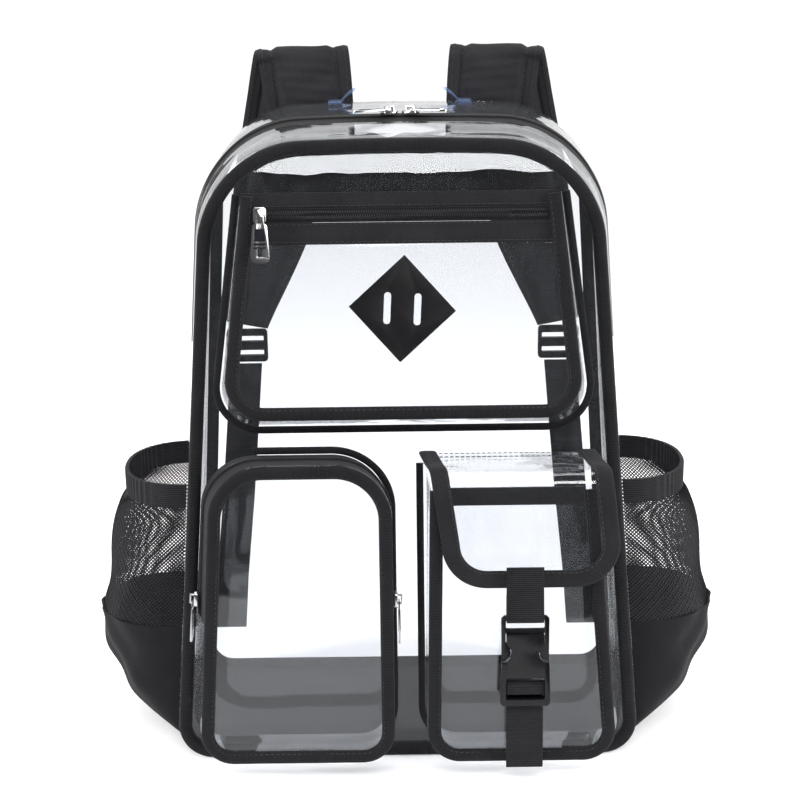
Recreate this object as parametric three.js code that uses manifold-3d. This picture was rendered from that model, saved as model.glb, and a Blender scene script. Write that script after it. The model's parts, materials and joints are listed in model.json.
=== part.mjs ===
// A clear vinyl backpack with black trim, standing on its flat base.
// Millimetres, +X to the right, +Y to the back, +Z up. The origin is the middle of the base.
import * as THREE from 'three';
import { mergeVertices } from 'three/addons/utils/BufferGeometryUtils.js';
import Module from 'manifold-3d';

const wasm = await Module();
wasm.setup();

// Sheets, cloth and the clearance between pieces that touch
const vinyl = 1;
const cloth = 1.6;
const seamGap = 0.3;

// The box of the bag: its outline is a rounded trapezium, taller at the back than at the front
const bag = {
  depth: 160,
  bottomHalf: 164,
  frontTopHalf: 131,
  backTopHalf: 139,
  frontHeight: 431,
  backHeight: 444,
  bottomRadius: 24,
  topRadius: 69,
  archRise: 5,
  sidePuff: 4,
  baseSheet: 2,
};
const binding = { width: 9, thick: 4 };
const piping = { width: 9, thick: 3.2 };
const seam = { width: 5, thick: 2.4 };
const zip = { tape: 30, thick: 1.4, coilWidth: 6, coilRise: 1.2 };

// The zip over the top starts this many outline steps above the base, on each side
const zipStartStep = 3;
const zipCentreFromFront = 60;

// Colours of the real materials
const looks = {
  vinyl: { color: 0xdde5ea, roughness: 0.05, metalness: 0, transparent: true, opacity: 0.35 },
  tinted: { color: 0x8fa6d8, roughness: 0.08, metalness: 0, transparent: true, opacity: 0.6 },
  black: { color: 0x1a1a1e, roughness: 0.85, metalness: 0 },
  net: { color: 0x2a2a30, roughness: 0.8, metalness: 0, transparent: true, opacity: 0.7 },
  base: { color: 0x3a3a3f, roughness: 0.8, metalness: 0 },
  plastic: { color: 0x0e0e10, roughness: 0.25, metalness: 0 },
  metal: { color: 0xc9c9cc, roughness: 0.18, metalness: 1 },
  enamel: { color: 0x14141a, roughness: 0.15, metalness: 0.4 },
};

const part = new THREE.Group();

function add(name, geometry, look, parent = part) {
  const mesh = new THREE.Mesh(geometry, new THREE.MeshStandardMaterial(look));
  mesh.name = name;
  parent.add(mesh);
  return mesh;
}

// Closed bodies from points and triangles

function solid(points, faces) {
  let volume = 0;
  for (const [a, b, c] of faces) {
    volume += points[a].dot(points[b].clone().cross(points[c]));
  }
  const outward = volume < 0 ? faces.map(([a, b, c]) => [a, c, b]) : faces;
  const position = new Float32Array(points.flatMap((point) => point.toArray()));
  const geometry = new THREE.BufferGeometry();
  geometry.setAttribute('position', new THREE.BufferAttribute(position, 3));
  geometry.setIndex(outward.flat());
  geometry.computeVertexNormals();
  return geometry;
}

function pushQuad(faces, a, b, c, d) {
  faces.push([a, b, c], [a, c, d]);
}

// A thin body between two grids of points with the same rows and columns
function slab(outer, inner, ring = false) {
  const rows = outer.length;
  const columns = outer[0].length;
  const last = columns - 1;
  const steps = ring ? rows : rows - 1;
  const at = (i, j, side) => side * rows * columns + (i % rows) * columns + j;
  const faces = [];
  for (let i = 0; i < steps; i += 1) {
    for (let j = 0; j < last; j += 1) {
      pushQuad(faces, at(i, j, 0), at(i + 1, j, 0), at(i + 1, j + 1, 0), at(i, j + 1, 0));
      pushQuad(faces, at(i, j, 1), at(i, j + 1, 1), at(i + 1, j + 1, 1), at(i + 1, j, 1));
    }
    pushQuad(faces, at(i, 0, 0), at(i, 0, 1), at(i + 1, 0, 1), at(i + 1, 0, 0));
    pushQuad(faces, at(i, last, 0), at(i + 1, last, 0), at(i + 1, last, 1), at(i, last, 1));
  }
  for (let j = 0; j < last && !ring; j += 1) {
    pushQuad(faces, at(0, j, 0), at(0, j + 1, 0), at(0, j + 1, 1), at(0, j, 1));
    pushQuad(faces, at(steps, j, 0), at(steps, j, 1), at(steps, j + 1, 1), at(steps, j + 1, 0));
  }
  return solid([...outer.flat(), ...inner.flat()], faces);
}

// A body swept through rows of one convex section, closed on itself or with flat ends
function sweep(rows, ring = false) {
  const sides = rows[0].length;
  const steps = ring ? rows.length : rows.length - 1;
  const at = (i, k) => (i % rows.length) * sides + (k % sides);
  const faces = [];
  for (let i = 0; i < steps; i += 1) {
    for (let k = 0; k < sides; k += 1) {
      pushQuad(faces, at(i, k), at(i + 1, k), at(i + 1, k + 1), at(i, k + 1));
    }
  }
  for (let k = 1; k < sides - 1 && !ring; k += 1) {
    faces.push([at(0, 0), at(0, k), at(0, k + 1)]);
    faces.push([at(steps, 0), at(steps, k + 1), at(steps, k)]);
  }
  return solid(rows.flat(), faces);
}

function grid(rowValues, columnValues, place) {
  return rowValues.map((row, i) => columnValues.map((column, j) => place(row, column, i, j)));
}

function evenly(count, low = 0, high = 1) {
  return Array.from({ length: count + 1 }, (_, k) => low + ((high - low) * k) / count);
}

function mix(low, high, share) {
  return low + (high - low) * share;
}

function smooth(value, low, high) {
  return THREE.MathUtils.smoothstep(value, low, high);
}

// Outlines with four rounded corners, run anticlockwise as seen from the front.
// low and high are the heights, the halves are the places of the corners along X.
// arc and run are the steps of a corner and of the straight stretch after it.

const steps = { across: 4, up: 4, lowArc: 3, highArc: 5 };

function fourCorners(shape) {
  const { lowLeft, lowRight, highRight, highLeft, low, high, lowRadius, highRadius } = shape;
  const { across, up, lowArc, highArc } = steps;
  return [
    { x: lowLeft, z: low, radius: lowRadius, arc: lowArc, run: across },
    { x: lowRight, z: low, radius: lowRadius, arc: lowArc, run: up },
    { x: highRight, z: high, radius: highRadius, arc: highArc, run: across },
    { x: highLeft, z: high, radius: highRadius, arc: highArc, run: up },
  ];
}

// Where each corner of such an outline starts in its list of points
const mark = {};
mark.lowRight = steps.lowArc + steps.across;
mark.rightFoot = mark.lowRight + steps.lowArc;
mark.highRight = mark.rightFoot + steps.up;
mark.topRight = mark.highRight + steps.highArc;
mark.highLeft = mark.topRight + steps.across;
mark.leftTop = mark.highLeft + steps.highArc;
mark.end = mark.leftTop + steps.up;

function roundedOutline(corners) {
  const spots = corners.map(({ x, z }) => new THREE.Vector2(x, z));
  const arcs = corners.map(({ radius, arc }, index) => {
    const here = spots[index];
    const into = here.clone().sub(spots.at(index - 1)).normalize();
    const away = spots[(index + 1) % spots.length].clone().sub(here).normalize();
    const turn = Math.acos(into.dot(away));
    const reach = radius * Math.tan(turn / 2);
    const side = new THREE.Vector2(into.y, -into.x);
    const centre = here.clone().addScaledVector(into, -reach).addScaledVector(side, -radius);
    return evenly(arc).map((share) => {
      const out = side.clone().rotateAround(new THREE.Vector2(), turn * share);
      return { spot: centre.clone().addScaledVector(out, radius), out };
    });
  });
  return arcs.flatMap((arc, index) => {
    const from = arc.at(-1);
    const to = arcs[(index + 1) % arcs.length][0];
    const between = evenly(corners[index].run).slice(1, -1);
    const run = between.map((share) => ({ spot: from.spot.clone().lerp(to.spot, share), out: from.out }));
    return [...arc, ...run];
  });
}

// The rim of a panel: its outline's points in space, with the direction that points out of it
function rimOf(shape, place) {
  return roundedOutline(fourCorners(shape)).map(({ spot, out }) => ({
    at: place(spot.x, spot.y),
    out: new THREE.Vector3(out.x, 0, out.y),
  }));
}

// A wall stretched from a front rim (share 0) to a rear rim (share 1), puffed out between them
class Wall {
  constructor(front, rear, puff = () => 0) {
    this.front = front;
    this.rear = rear;
    this.puff = puff;
  }

  knot(index, share, out) {
    const front = this.front[index % this.front.length];
    const rear = this.rear[index % this.rear.length];
    const spot = front.at.clone().lerp(rear.at, share);
    const away = front.out.clone().lerp(rear.out, share).normalize();
    return spot.addScaledVector(away, out + this.puff(spot.z) * Math.sin(Math.PI * share));
  }

  at(index, share, out = 0) {
    const low = Math.floor(index);
    const spot = this.knot(low, share, out);
    return index === low ? spot : spot.lerp(this.knot(low + 1, share, out), index - low);
  }

  // Steps along the wall from one index to another, each end held back by half the clearance
  span(from, to) {
    const list = evenly(to - from, from, to);
    const firstStep = this.knot(from, 0, 0).distanceTo(this.knot(from + 1, 0, 0));
    const lastStep = this.knot(to, 0, 0).distanceTo(this.knot(to - 1, 0, 0));
    list[0] += seamGap / 2 / firstStep;
    list[list.length - 1] -= seamGap / 2 / lastStep;
    return list;
  }

  // A strip of the wall; tops holds the height of its outer face at each share
  strip(indices, shares, thick, tops = shares.map(() => 0), ring = false) {
    const outer = grid(indices, shares, (index, share, i, j) => this.at(index, share, tops[j]));
    const inner = grid(indices, shares, (index, share) => this.at(index, share, -thick));
    return slab(outer, inner, ring);
  }
}

// A tape swept along a rim: its section runs from one distance out of the rim to another,
// and stands forward (negative y) or back from the rim by the given amounts
function tapeAlong(rim, indices, { outLow, outHigh, yNear, yFar }, ring = false) {
  const width = outHigh - outLow;
  const shoulder = 0.22 * width;
  const waist = mix(yNear, yFar, 0.55);
  const section = [
    { out: outLow, y: yNear },
    { out: outLow, y: waist },
    { out: outLow + shoulder, y: yFar },
    { out: outHigh - shoulder, y: yFar },
    { out: outHigh, y: waist },
    { out: outHigh, y: yNear },
  ];
  const wall = new Wall(rim, rim);
  const rows = indices.map((index) => section.map(({ out, y }) => {
    const spot = wall.at(index, 0, out);
    spot.y += y;
    return spot;
  }));
  return sweep(rows, ring);
}

// A panel inside a rim, from the low run of points up to the high run, with a front and a back
function panelIn(rim, thick) {
  const count = rim.length;
  const climb = steps.lowArc + steps.up + steps.highArc;
  const edge = (index) => rim[(index + count) % count].at.clone();
  const levels = evenly(climb, 0, climb);
  const across = evenly(steps.across, 0, steps.across);
  const middle = (level, step) => {
    const left = edge(steps.lowArc - level);
    const right = edge(mark.lowRight + level);
    return left.lerp(right, step / steps.across);
  };
  const flat = (level, step) => {
    if (level === 0) return edge(steps.lowArc + step);
    if (level === climb) return edge(mark.highLeft - step);
    return middle(level, step);
  };
  const face = (depth) => grid(levels, across, (level, step) => {
    const spot = flat(level, step);
    spot.y += depth;
    return spot;
  });
  return slab(face(0), face(thick));
}

// The bag's own box

const halfDepth = bag.depth / 2;

function bagShape(topHalf, height) {
  return {
    lowLeft: -bag.bottomHalf,
    lowRight: bag.bottomHalf,
    highRight: topHalf,
    highLeft: -topHalf,
    low: 0,
    high: height,
    lowRadius: bag.bottomRadius,
    highRadius: bag.topRadius,
  };
}

// The top edge arches up a little towards its middle
function bagRim(topHalf, height, y) {
  return rimOf(bagShape(topHalf, height), (x, z) => {
    const near = smooth(z, height - bag.topRadius, height);
    const arch = bag.archRise * near * Math.max(0, 1 - (x / topHalf) ** 2);
    return new THREE.Vector3(x, y, z + arch);
  });
}

const panelRoom = vinyl + seamGap;
const frontRim = bagRim(bag.frontTopHalf, bag.frontHeight, -halfDepth);
const backRim = bagRim(bag.backTopHalf, bag.backHeight, halfDepth);
const bagPuff = (z) => bag.sidePuff * smooth(z, 0, 3 * bag.bottomRadius);
const bagWall = new Wall(
  bagRim(bag.frontTopHalf, bag.frontHeight, -halfDepth + panelRoom),
  bagRim(bag.backTopHalf, bag.backHeight, halfDepth - panelRoom),
  bagPuff,
);
const shareOf = (fromFront) => (fromFront - panelRoom) / (bag.depth - 2 * panelRoom);

add('front_panel', panelIn(frontRim, vinyl), looks.vinyl);
add('back_panel', panelIn(backRim, -vinyl), looks.vinyl);

const baseSpan = bagWall.span(mark.leftTop + steps.up, mark.end + mark.rightFoot);
add('base_panel', bagWall.strip(baseSpan, evenly(4), bag.baseSheet), looks.base);
const zipRight = mark.rightFoot + zipStartStep;
const zipLeft = mark.end - zipStartStep;
const sideShares = evenly(6);
add('side_panel_right', bagWall.strip(bagWall.span(mark.rightFoot, zipRight), sideShares, vinyl), looks.vinyl);
add('side_panel_left', bagWall.strip(bagWall.span(zipLeft, mark.end), sideShares, vinyl), looks.vinyl);

const zipFront = shareOf(zipCentreFromFront - zip.tape / 2);
const zipRear = shareOf(zipCentreFromFront + zip.tape / 2);
const edgeGap = seamGap / bag.depth;
const topSpan = bagWall.span(zipRight, zipLeft);
add('top_strip_front', bagWall.strip(topSpan, evenly(2, 0, zipFront - edgeGap), vinyl), looks.vinyl);
add('top_strip_rear', bagWall.strip(topSpan, evenly(3, zipRear + edgeGap, 1), vinyl), looks.vinyl);

// A zip tape carries its coil as a low ridge along the middle
function zipProfile(low, high, tapeWidth) {
  const coil = zip.coilWidth / tapeWidth / 2;
  const columns = [
    { share: 0, rise: 0 },
    { share: 0.5 - coil * 1.3, rise: 0 },
    { share: 0.5 - coil, rise: zip.coilRise },
    { share: 0.5 + coil, rise: zip.coilRise },
    { share: 0.5 + coil * 1.3, rise: 0 },
    { share: 1, rise: 0 },
  ];
  return {
    shares: columns.map(({ share }) => mix(low, high, share)),
    tops: columns.map(({ rise }) => rise),
  };
}

const mainZip = zipProfile(zipFront, zipRear, zip.tape);
add('main_zip', bagWall.strip(topSpan, mainZip.shares, zip.thick, mainZip.tops), looks.black);

const allRound = evenly(mark.end - 1, 0, mark.end - 1);
const bindingSection = {
  outLow: -seamGap - binding.width,
  outHigh: -seamGap,
  yNear: -seamGap,
  yFar: -seamGap - binding.thick,
};
const backBindingSection = {
  ...bindingSection,
  yNear: seamGap,
  yFar: seamGap + binding.thick,
};
add('front_binding', tapeAlong(frontRim, allRound, bindingSection, true), looks.black);
add('back_binding', tapeAlong(backRim, allRound, backBindingSection, true), looks.black);

// Pockets on the front: each stands forward from the front panel

const panelFace = -halfDepth - seamGap;
const squareCorner = 1.5;
const openU = [mark.leftTop, mark.end + mark.highRight];

// The sheet, its piping and its rear seam lie in layers, each a clearance in front of the last
function pocketFront(rim) {
  const lifted = rim.map(({ at, out }) => ({ at: at.clone().setY(at.y - seamGap), out }));
  return panelIn(lifted, -vinyl);
}

const pipingSection = {
  outLow: -piping.width,
  outHigh: 0,
  yNear: -2 * seamGap - vinyl,
  yFar: -2 * seamGap - vinyl - piping.thick,
};
const seamSection = {
  outLow: 2 * seamGap,
  outHigh: 2 * seamGap + seam.width,
  yNear: 0,
  yFar: -seam.thick,
};
const gussetShares = [0, 0.5, 1];

// The upper pocket leaves the panel at its top and stands out further down

const upperPocket = {
  topHalf: 105,
  bottomHalf: 121,
  rearTopHalf: 105.5,
  rearBottomHalf: 127,
  low: 253,
  rearLow: 243,
  top: 401,
  radius: 26,
  topDepth: 2,
  depth: 26,
  topBand: 10,
  zipBand: 9,
  lowBand: 14,
};

function upperDepth(z) {
  const share = (upperPocket.top - z) / (upperPocket.top - upperPocket.low);
  return mix(upperPocket.topDepth, upperPocket.depth, share);
}

function upperHalf(z) {
  const share = (z - upperPocket.low) / (upperPocket.top - upperPocket.low);
  return mix(upperPocket.bottomHalf, upperPocket.topHalf, share);
}

function upperShape(bottomHalf, topHalf, low, high, highRadius = squareCorner) {
  return {
    lowLeft: -bottomHalf,
    lowRight: bottomHalf,
    highRight: topHalf,
    highLeft: -topHalf,
    low,
    high,
    lowRadius: upperPocket.radius,
    highRadius,
  };
}

const onUpperFace = (x, z) => new THREE.Vector3(x, panelFace - upperDepth(z), z);
const onPanel = (x, z) => new THREE.Vector3(x, panelFace, z);
const { bottomHalf, topHalf, rearBottomHalf, rearTopHalf, low, rearLow, top } = upperPocket;
const upperFront = rimOf(upperShape(bottomHalf, topHalf, low, top), onUpperFace);
const upperRear = rimOf(upperShape(rearBottomHalf, rearTopHalf, rearLow, top), onPanel);
const upperWall = new Wall(upperFront, upperRear);
const upperU = upperWall.span(...openU);
const zipBandHigh = top - upperPocket.topBand - seamGap;
const zipBandLow = zipBandHigh - upperPocket.zipBand;
const lowBandHigh = zipBandLow - seamGap;
const lowBandLow = lowBandHigh - upperPocket.lowBand;
const clearHigh = lowBandLow - seamGap;
const upperClear = rimOf(upperShape(bottomHalf, upperHalf(clearHigh), low, clearHigh), onUpperFace);

function upperBand(zLow, zHigh, room, profile) {
  const levels = profile.shares.map((share) => mix(zLow, zHigh, share));
  const across = evenly(2, -1, 1);
  const face = (rise) => grid(levels, across, (z, share, i) => {
    const spot = onUpperFace(share * (upperHalf(z) - room), z);
    spot.y -= seamGap + rise(i);
    return spot;
  });
  return slab(face((i) => vinyl + profile.tops[i]), face(() => 0));
}

const plainBand = { shares: [0, 1], tops: [0, 0] };
add('upper_pocket_front', pocketFront(upperClear), looks.vinyl);
add('upper_pocket_gusset', upperWall.strip(upperU, gussetShares, vinyl), looks.vinyl);
add('upper_pocket_piping', tapeAlong(upperFront, upperU, pipingSection), looks.black);
add('upper_pocket_seam', tapeAlong(upperRear, upperU, seamSection), looks.black);
add('upper_band_top', upperBand(zipBandHigh + seamGap, top, 0, plainBand), looks.black);
add('upper_band_bottom', upperBand(lowBandLow, lowBandHigh, 0, plainBand), looks.black);
const upperZipProfile = zipProfile(0, 1, upperPocket.zipBand);
const pipingRoom = piping.width + seamGap;
add('upper_zip', upperBand(zipBandLow, zipBandHigh, pipingRoom, upperZipProfile), looks.black);

// Joins and cuts of closed bodies

function toManifold(geometry) {
  const bare = geometry.clone();
  bare.deleteAttribute('normal');
  bare.deleteAttribute('uv');
  const merged = mergeVertices(bare, 1e-4);
  const vertProperties = new Float32Array(merged.attributes.position.array);
  const triVerts = new Uint32Array(merged.index.array);
  return new wasm.Manifold(new wasm.Mesh({ numProp: 3, vertProperties, triVerts }));
}

function fromManifold(body) {
  const { vertProperties, triVerts } = body.getMesh();
  const geometry = new THREE.BufferGeometry();
  geometry.setAttribute('position', new THREE.BufferAttribute(vertProperties, 3));
  geometry.setIndex(new THREE.BufferAttribute(triVerts, 1));
  geometry.computeVertexNormals();
  return geometry;
}

function join(...geometries) {
  return fromManifold(geometries.map(toManifold).reduce((all, next) => all.add(next)));
}

// A flat plate: a shape in the XY plane, from one height to another
function plate(shape, from, to, curveSegments = 4) {
  const geometry = new THREE.ExtrudeGeometry(shape, {
    depth: to - from,
    bevelEnabled: false,
    curveSegments,
  });
  return geometry.translate(0, 0, from);
}

// A rectangle with rounded corners as a shape or as a hole
function rectangle(width, height, radius, x = 0, y = 0, Kind = THREE.Shape) {
  const right = width / 2;
  const up = height / 2;
  const outline = new Kind();
  outline.moveTo(x - right + radius, y - up);
  outline.lineTo(x + right - radius, y - up);
  outline.absarc(x + right - radius, y - up + radius, radius, -Math.PI / 2, 0);
  outline.absarc(x + right - radius, y + up - radius, radius, 0, Math.PI / 2);
  outline.absarc(x - right + radius, y + up - radius, radius, Math.PI / 2, Math.PI);
  outline.absarc(x - right + radius, y - up + radius, radius, Math.PI, 1.5 * Math.PI);
  return outline;
}

// The square lash tab stands on its corner, a little turned, with two slots

const lashTab = {
  side: 50,
  thick: 2.4,
  radius: 2,
  slotWidth: 4.6,
  slotHeight: 21,
  slotSpacing: 20,
  x: 0,
  z: 325,
  turn: THREE.MathUtils.degToRad(-3),
};
const tabShape = new THREE.Shape();
const tabReach = lashTab.side * Math.SQRT1_2;
const tabCorners = evenly(4, 0, 2 * Math.PI).slice(0, 4);
tabCorners.forEach((angle, index) => {
  const tip = [tabReach * Math.cos(angle), tabReach * Math.sin(angle)];
  if (index === 0) {
    tabShape.moveTo(...tip);
  } else {
    tabShape.lineTo(...tip);
  }
});
for (const side of [-1, 1]) {
  const { slotWidth, slotHeight, slotSpacing } = lashTab;
  const slot = rectangle(slotWidth, slotHeight, slotWidth / 2 - 0.1, (side * slotSpacing) / 2, 0, THREE.Path);
  tabShape.holes.push(slot);
}
const tabSeat = new THREE.Group();
const faceLean = Math.atan((upperPocket.depth - upperPocket.topDepth) / (top - low));
tabSeat.position.copy(onUpperFace(lashTab.x, lashTab.z));
tabSeat.rotation.x = Math.PI / 2 - faceLean;
const tab = add('lash_tab', plate(tabShape, 0, lashTab.thick, 3), looks.black, tabSeat);
tab.rotation.z = lashTab.turn;
tab.position.z = (2 * seamGap + vinyl) / Math.cos(faceLean);
part.add(tabSeat);

// The two lower pockets: the left one is zipped, the right one is open under its flap

const lowerDepth = 45;
const edgeRoom = binding.width + 2 * seamGap;
const seamRoom = seam.width + 3 * seamGap;
const bagSide = (z) => mix(bag.bottomHalf, bag.frontTopHalf, z / bag.frontHeight);
const rearLowEdge = edgeRoom + seamRoom;
const leftRearHigh = 222;
const rightRearHigh = 217;

const leftPocket = {
  front: {
    lowLeft: -142,
    lowRight: -8.5,
    highRight: -8.5,
    highLeft: -128.5,
    low: 16.5,
    high: 227,
    lowRadius: 22,
    highRadius: 38,
  },
  rear: {
    lowLeft: -bagSide(rearLowEdge) + edgeRoom,
    lowRight: -12,
    highRight: -12,
    highLeft: -bagSide(leftRearHigh) + edgeRoom,
    low: rearLowEdge,
    high: leftRearHigh,
    lowRadius: 22,
    highRadius: 38,
  },
};
const rightPocket = {
  front: {
    lowLeft: 13.5,
    lowRight: 143,
    highRight: 127,
    highLeft: 16.5,
    low: 16.5,
    high: 211,
    lowRadius: 22,
    highRadius: squareCorner,
  },
  rear: {
    lowLeft: 13.5,
    lowRight: bagSide(rearLowEdge) - edgeRoom,
    highRight: bagSide(rightRearHigh) - edgeRoom,
    highLeft: 13.5,
    low: rearLowEdge,
    high: rightRearHigh,
    lowRadius: 22,
    highRadius: squareCorner,
  },
};

const onLowerFace = (x, z) => new THREE.Vector3(x, panelFace - lowerDepth, z);
const leftFront = rimOf(leftPocket.front, onLowerFace);
const leftRear = rimOf(leftPocket.rear, onPanel);
const leftWall = new Wall(leftFront, leftRear);
const leftZipStep = 2;
const leftZipRange = [mark.rightFoot + leftZipStep, mark.end - leftZipStep];
const leftZipProfile = zipProfile(0, 1, lowerDepth);
const leftZipSpan = leftWall.span(...leftZipRange);
const leftClearSpan = leftWall.span(leftZipRange[1], mark.end + leftZipRange[0]);
add('left_pocket_front', pocketFront(leftFront), looks.vinyl);
add('left_pocket_gusset', leftWall.strip(leftClearSpan, gussetShares, vinyl), looks.vinyl);
add('left_pocket_zip', leftWall.strip(leftZipSpan, leftZipProfile.shares, zip.thick, leftZipProfile.tops), looks.black);
add('left_pocket_piping', tapeAlong(leftFront, allRound, pipingSection, true), looks.black);
const leftSeamSpan = leftWall.span(steps.lowArc, mark.highLeft);
add('left_pocket_seam', tapeAlong(leftRear, leftSeamSpan, seamSection), looks.black);

const rightFront = rimOf(rightPocket.front, onLowerFace);
const rightRear = rimOf(rightPocket.rear, onPanel);
const rightWall = new Wall(rightFront, rightRear);
const rightU = rightWall.span(...openU);
const hem = { height: 12, thick: 2.4 };
add('right_pocket_front', pocketFront(rightFront), looks.vinyl);
add('right_pocket_gusset', rightWall.strip(rightU, gussetShares, vinyl), looks.vinyl);
add('right_pocket_piping', tapeAlong(rightFront, rightU, pipingSection), looks.black);
const rightSeamSpan = rightWall.span(mark.leftTop, mark.end + mark.lowRight);
add('right_pocket_seam', tapeAlong(rightRear, rightSeamSpan, seamSection), looks.black);

// The hem stiffens the open mouth of the right pocket, between the ends of its piping
const hemLow = rightPocket.front.high - hem.height;
const hemRoom = piping.width + seamGap;
const hemShape = new THREE.Shape();
hemShape.moveTo(rightPocket.front.highLeft + hemRoom, hemLow);
hemShape.lineTo(rightPocket.front.highRight - hemRoom, hemLow);
hemShape.lineTo(rightPocket.front.highRight - hemRoom, rightPocket.front.high);
hemShape.lineTo(rightPocket.front.highLeft + hemRoom, rightPocket.front.high);
const hemFace = panelFace - lowerDepth - 2 * seamGap - vinyl;
const hemGeometry = plate(hemShape, 0, hem.thick).rotateX(Math.PI / 2);
add('right_pocket_hem', hemGeometry.translate(0, hemFace, 0), looks.black);

// The flap runs forward from the front panel, over the mouth and down the pocket's face

const flap = {
  highLeft: 10,
  highRight: 131,
  lowLeft: 24,
  lowRight: 142,
  attach: 220.5,
  low: 143,
  radius: 30,
  bindingWidth: 12,
  bindingThick: 2,
};
const flapReach = lowerDepth + vinyl + piping.thick + 5 * seamGap;
const mouthTop = rightPocket.rear.high;
const flapProfile = new THREE.CatmullRomCurve3([
  new THREE.Vector3(0, panelFace, flap.attach),
  new THREE.Vector3(0, panelFace - 0.5 * flapReach, mix(mouthTop, flap.attach, 0.75)),
  new THREE.Vector3(0, panelFace - 0.9 * flapReach, mouthTop + 2),
  new THREE.Vector3(0, panelFace - 1.01 * flapReach, rightPocket.front.high),
  new THREE.Vector3(0, panelFace - flapReach, mix(flap.low, rightPocket.front.high, 0.6)),
  new THREE.Vector3(0, panelFace - flapReach, flap.low),
], false, 'centripetal');
const flapLength = flapProfile.getLength();

// A point of the flap: x across, run along the profile from the seam, rise off the inner face
function onFlap(x, run, rise) {
  const share = run / flapLength;
  const spot = flapProfile.getPointAt(share);
  const tangent = flapProfile.getTangentAt(share);
  return new THREE.Vector3(x, spot.y + rise * tangent.z, spot.z - rise * tangent.y);
}

// The flap's outline from its top left corner, down, round and up to its top right corner
const flapCorner = flapLength - flap.radius;
const flapStraight = [0, 0.25, 0.42, 0.52, 0.6, 0.68, 0.8, 0.9].map((share) => share * flapCorner);
function flapEdge(side) {
  const high = side < 0 ? flap.highLeft : flap.highRight;
  const low = side < 0 ? flap.lowLeft : flap.lowRight;
  const straight = flapStraight.map((run) => ({
    x: mix(high, low, run / flapCorner), run, inX: -side, inRun: 0,
  }));
  const corner = evenly(4, 0, Math.PI / 2).map((angle) => ({
    x: low - side * flap.radius * (1 - Math.cos(angle)),
    run: flapCorner + flap.radius * Math.sin(angle),
    inX: -side * Math.cos(angle),
    inRun: -Math.sin(angle),
  }));
  return [...straight, ...corner];
}
const flapLeft = flapEdge(-1);
const flapRight = flapEdge(1);
const flapAcross = evenly(2);
const flapFace = (rise) => grid(flapLeft, flapAcross, (left, share, i) => (
  onFlap(mix(left.x, flapRight[i].x, share), left.run, rise)
));
add('flap', slab(flapFace(vinyl), flapFace(0)), looks.vinyl);

const flapU = [...flapLeft, ...flapRight.toReversed()];
const flapBindingLow = vinyl + seamGap;
const flapBindingHigh = flapBindingLow + flap.bindingThick;
const flapBindingSection = [
  { into: 0, rise: flapBindingLow },
  { into: 0, rise: flapBindingHigh },
  { into: flap.bindingWidth, rise: flapBindingHigh },
  { into: flap.bindingWidth, rise: flapBindingLow },
];
add('flap_binding', sweep(flapU.map(({ x, run, inX, inRun }) => flapBindingSection.map(
  ({ into, rise }) => onFlap(x + inX * into, run + inRun * into, rise),
))), looks.black);

// The flap's fastening: webbing over the flap, a side release buckle, and webbing below it

const webbing = { width: 25, thick: 1.4 };
const fastening = {
  x: 79,
  bar: 2.8,
  upperTop: 158,
  upperBar: 123.2,
  upperTail: 138,
  adjusterBar: 75,
  lowerTail: 70,
  lowerEnd: 14.5,
};
const buckle = {
  halfWidth: 16,
  thick: 6.6,
  slotHalf: webbing.width / 2 + 0.4,
  maleTop: fastening.upperBar + fastening.bar / 2,
  maleBottom: 112.6,
  maleSlotLow: 115.5,
  shoulder: 92,
  neckHalf: 12.6,
  waistHalf: 9,
  waist: 99,
  femaleBottom: 62,
  slotLow: 66.5,
  slotHigh: 82,
};
const flapFront = panelFace - flapReach - flapBindingHigh;
const barY = flapFront - seamGap - 1.2;
const wrapRadius = fastening.bar / 2 + 2 * seamGap + webbing.thick / 2 + 0.3;

// A webbing lies along a side profile of places (y, z), its width running along X
function webbingAlong(profile, width, thick, x) {
  const rows = profile.map(({ y, z }, index) => {
    const before = profile[Math.max(index - 1, 0)];
    const after = profile[Math.min(index + 1, profile.length - 1)];
    const along = new THREE.Vector2(after.y - before.y, after.z - before.z).normalize();
    const half = thick / 2;
    const corners = [[-1, -1], [1, -1], [1, 1], [-1, 1]];
    return corners.map(([side, face]) => new THREE.Vector3(
      x + (side * width) / 2,
      y + face * half * along.y,
      z - face * half * along.x,
    ));
  });
  return sweep(rows);
}

// Half a turn of webbing round a bar, from its front over or under it to its back
function wrap(barZ, direction) {
  return evenly(6, 0, Math.PI).map((angle) => ({
    y: barY - wrapRadius * Math.cos(angle),
    z: barZ + direction * wrapRadius * Math.sin(angle),
  }));
}
const overFlap = flapFront - seamGap - webbing.thick / 2;
const upperProfile = [
  { y: overFlap, z: fastening.upperTop },
  { y: overFlap, z: flap.low },
  ...wrap(fastening.upperBar, -1),
  { y: barY + wrapRadius, z: fastening.upperTail },
];
const lowerProfile = [
  { y: barY - wrapRadius, z: fastening.lowerTail },
  ...wrap(fastening.adjusterBar, 1),
  { y: barY + wrapRadius, z: fastening.lowerEnd },
];
const { x: strapX } = fastening;
add('webbing_upper', webbingAlong(upperProfile, webbing.width, webbing.thick, strapX), looks.black);
add('webbing_lower', webbingAlong(lowerProfile, webbing.width, webbing.thick, strapX), looks.black);

// Half an outline on the right, mirrored to the left, as a shape standing in the XZ plane
function mirrored(points) {
  const shape = new THREE.Shape();
  const left = points.toReversed().map(([x, z]) => [-x, z]);
  [...points, ...left].forEach(([x, z], index) => {
    if (index === 0) {
      shape.moveTo(x, z);
    } else {
      shape.lineTo(x, z);
    }
  });
  return shape;
}

function upright(shape, yFront, yBack, x = 0) {
  return plate(shape, 0, yBack - yFront).rotateX(Math.PI / 2).translate(x, yBack, 0);
}

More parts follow.
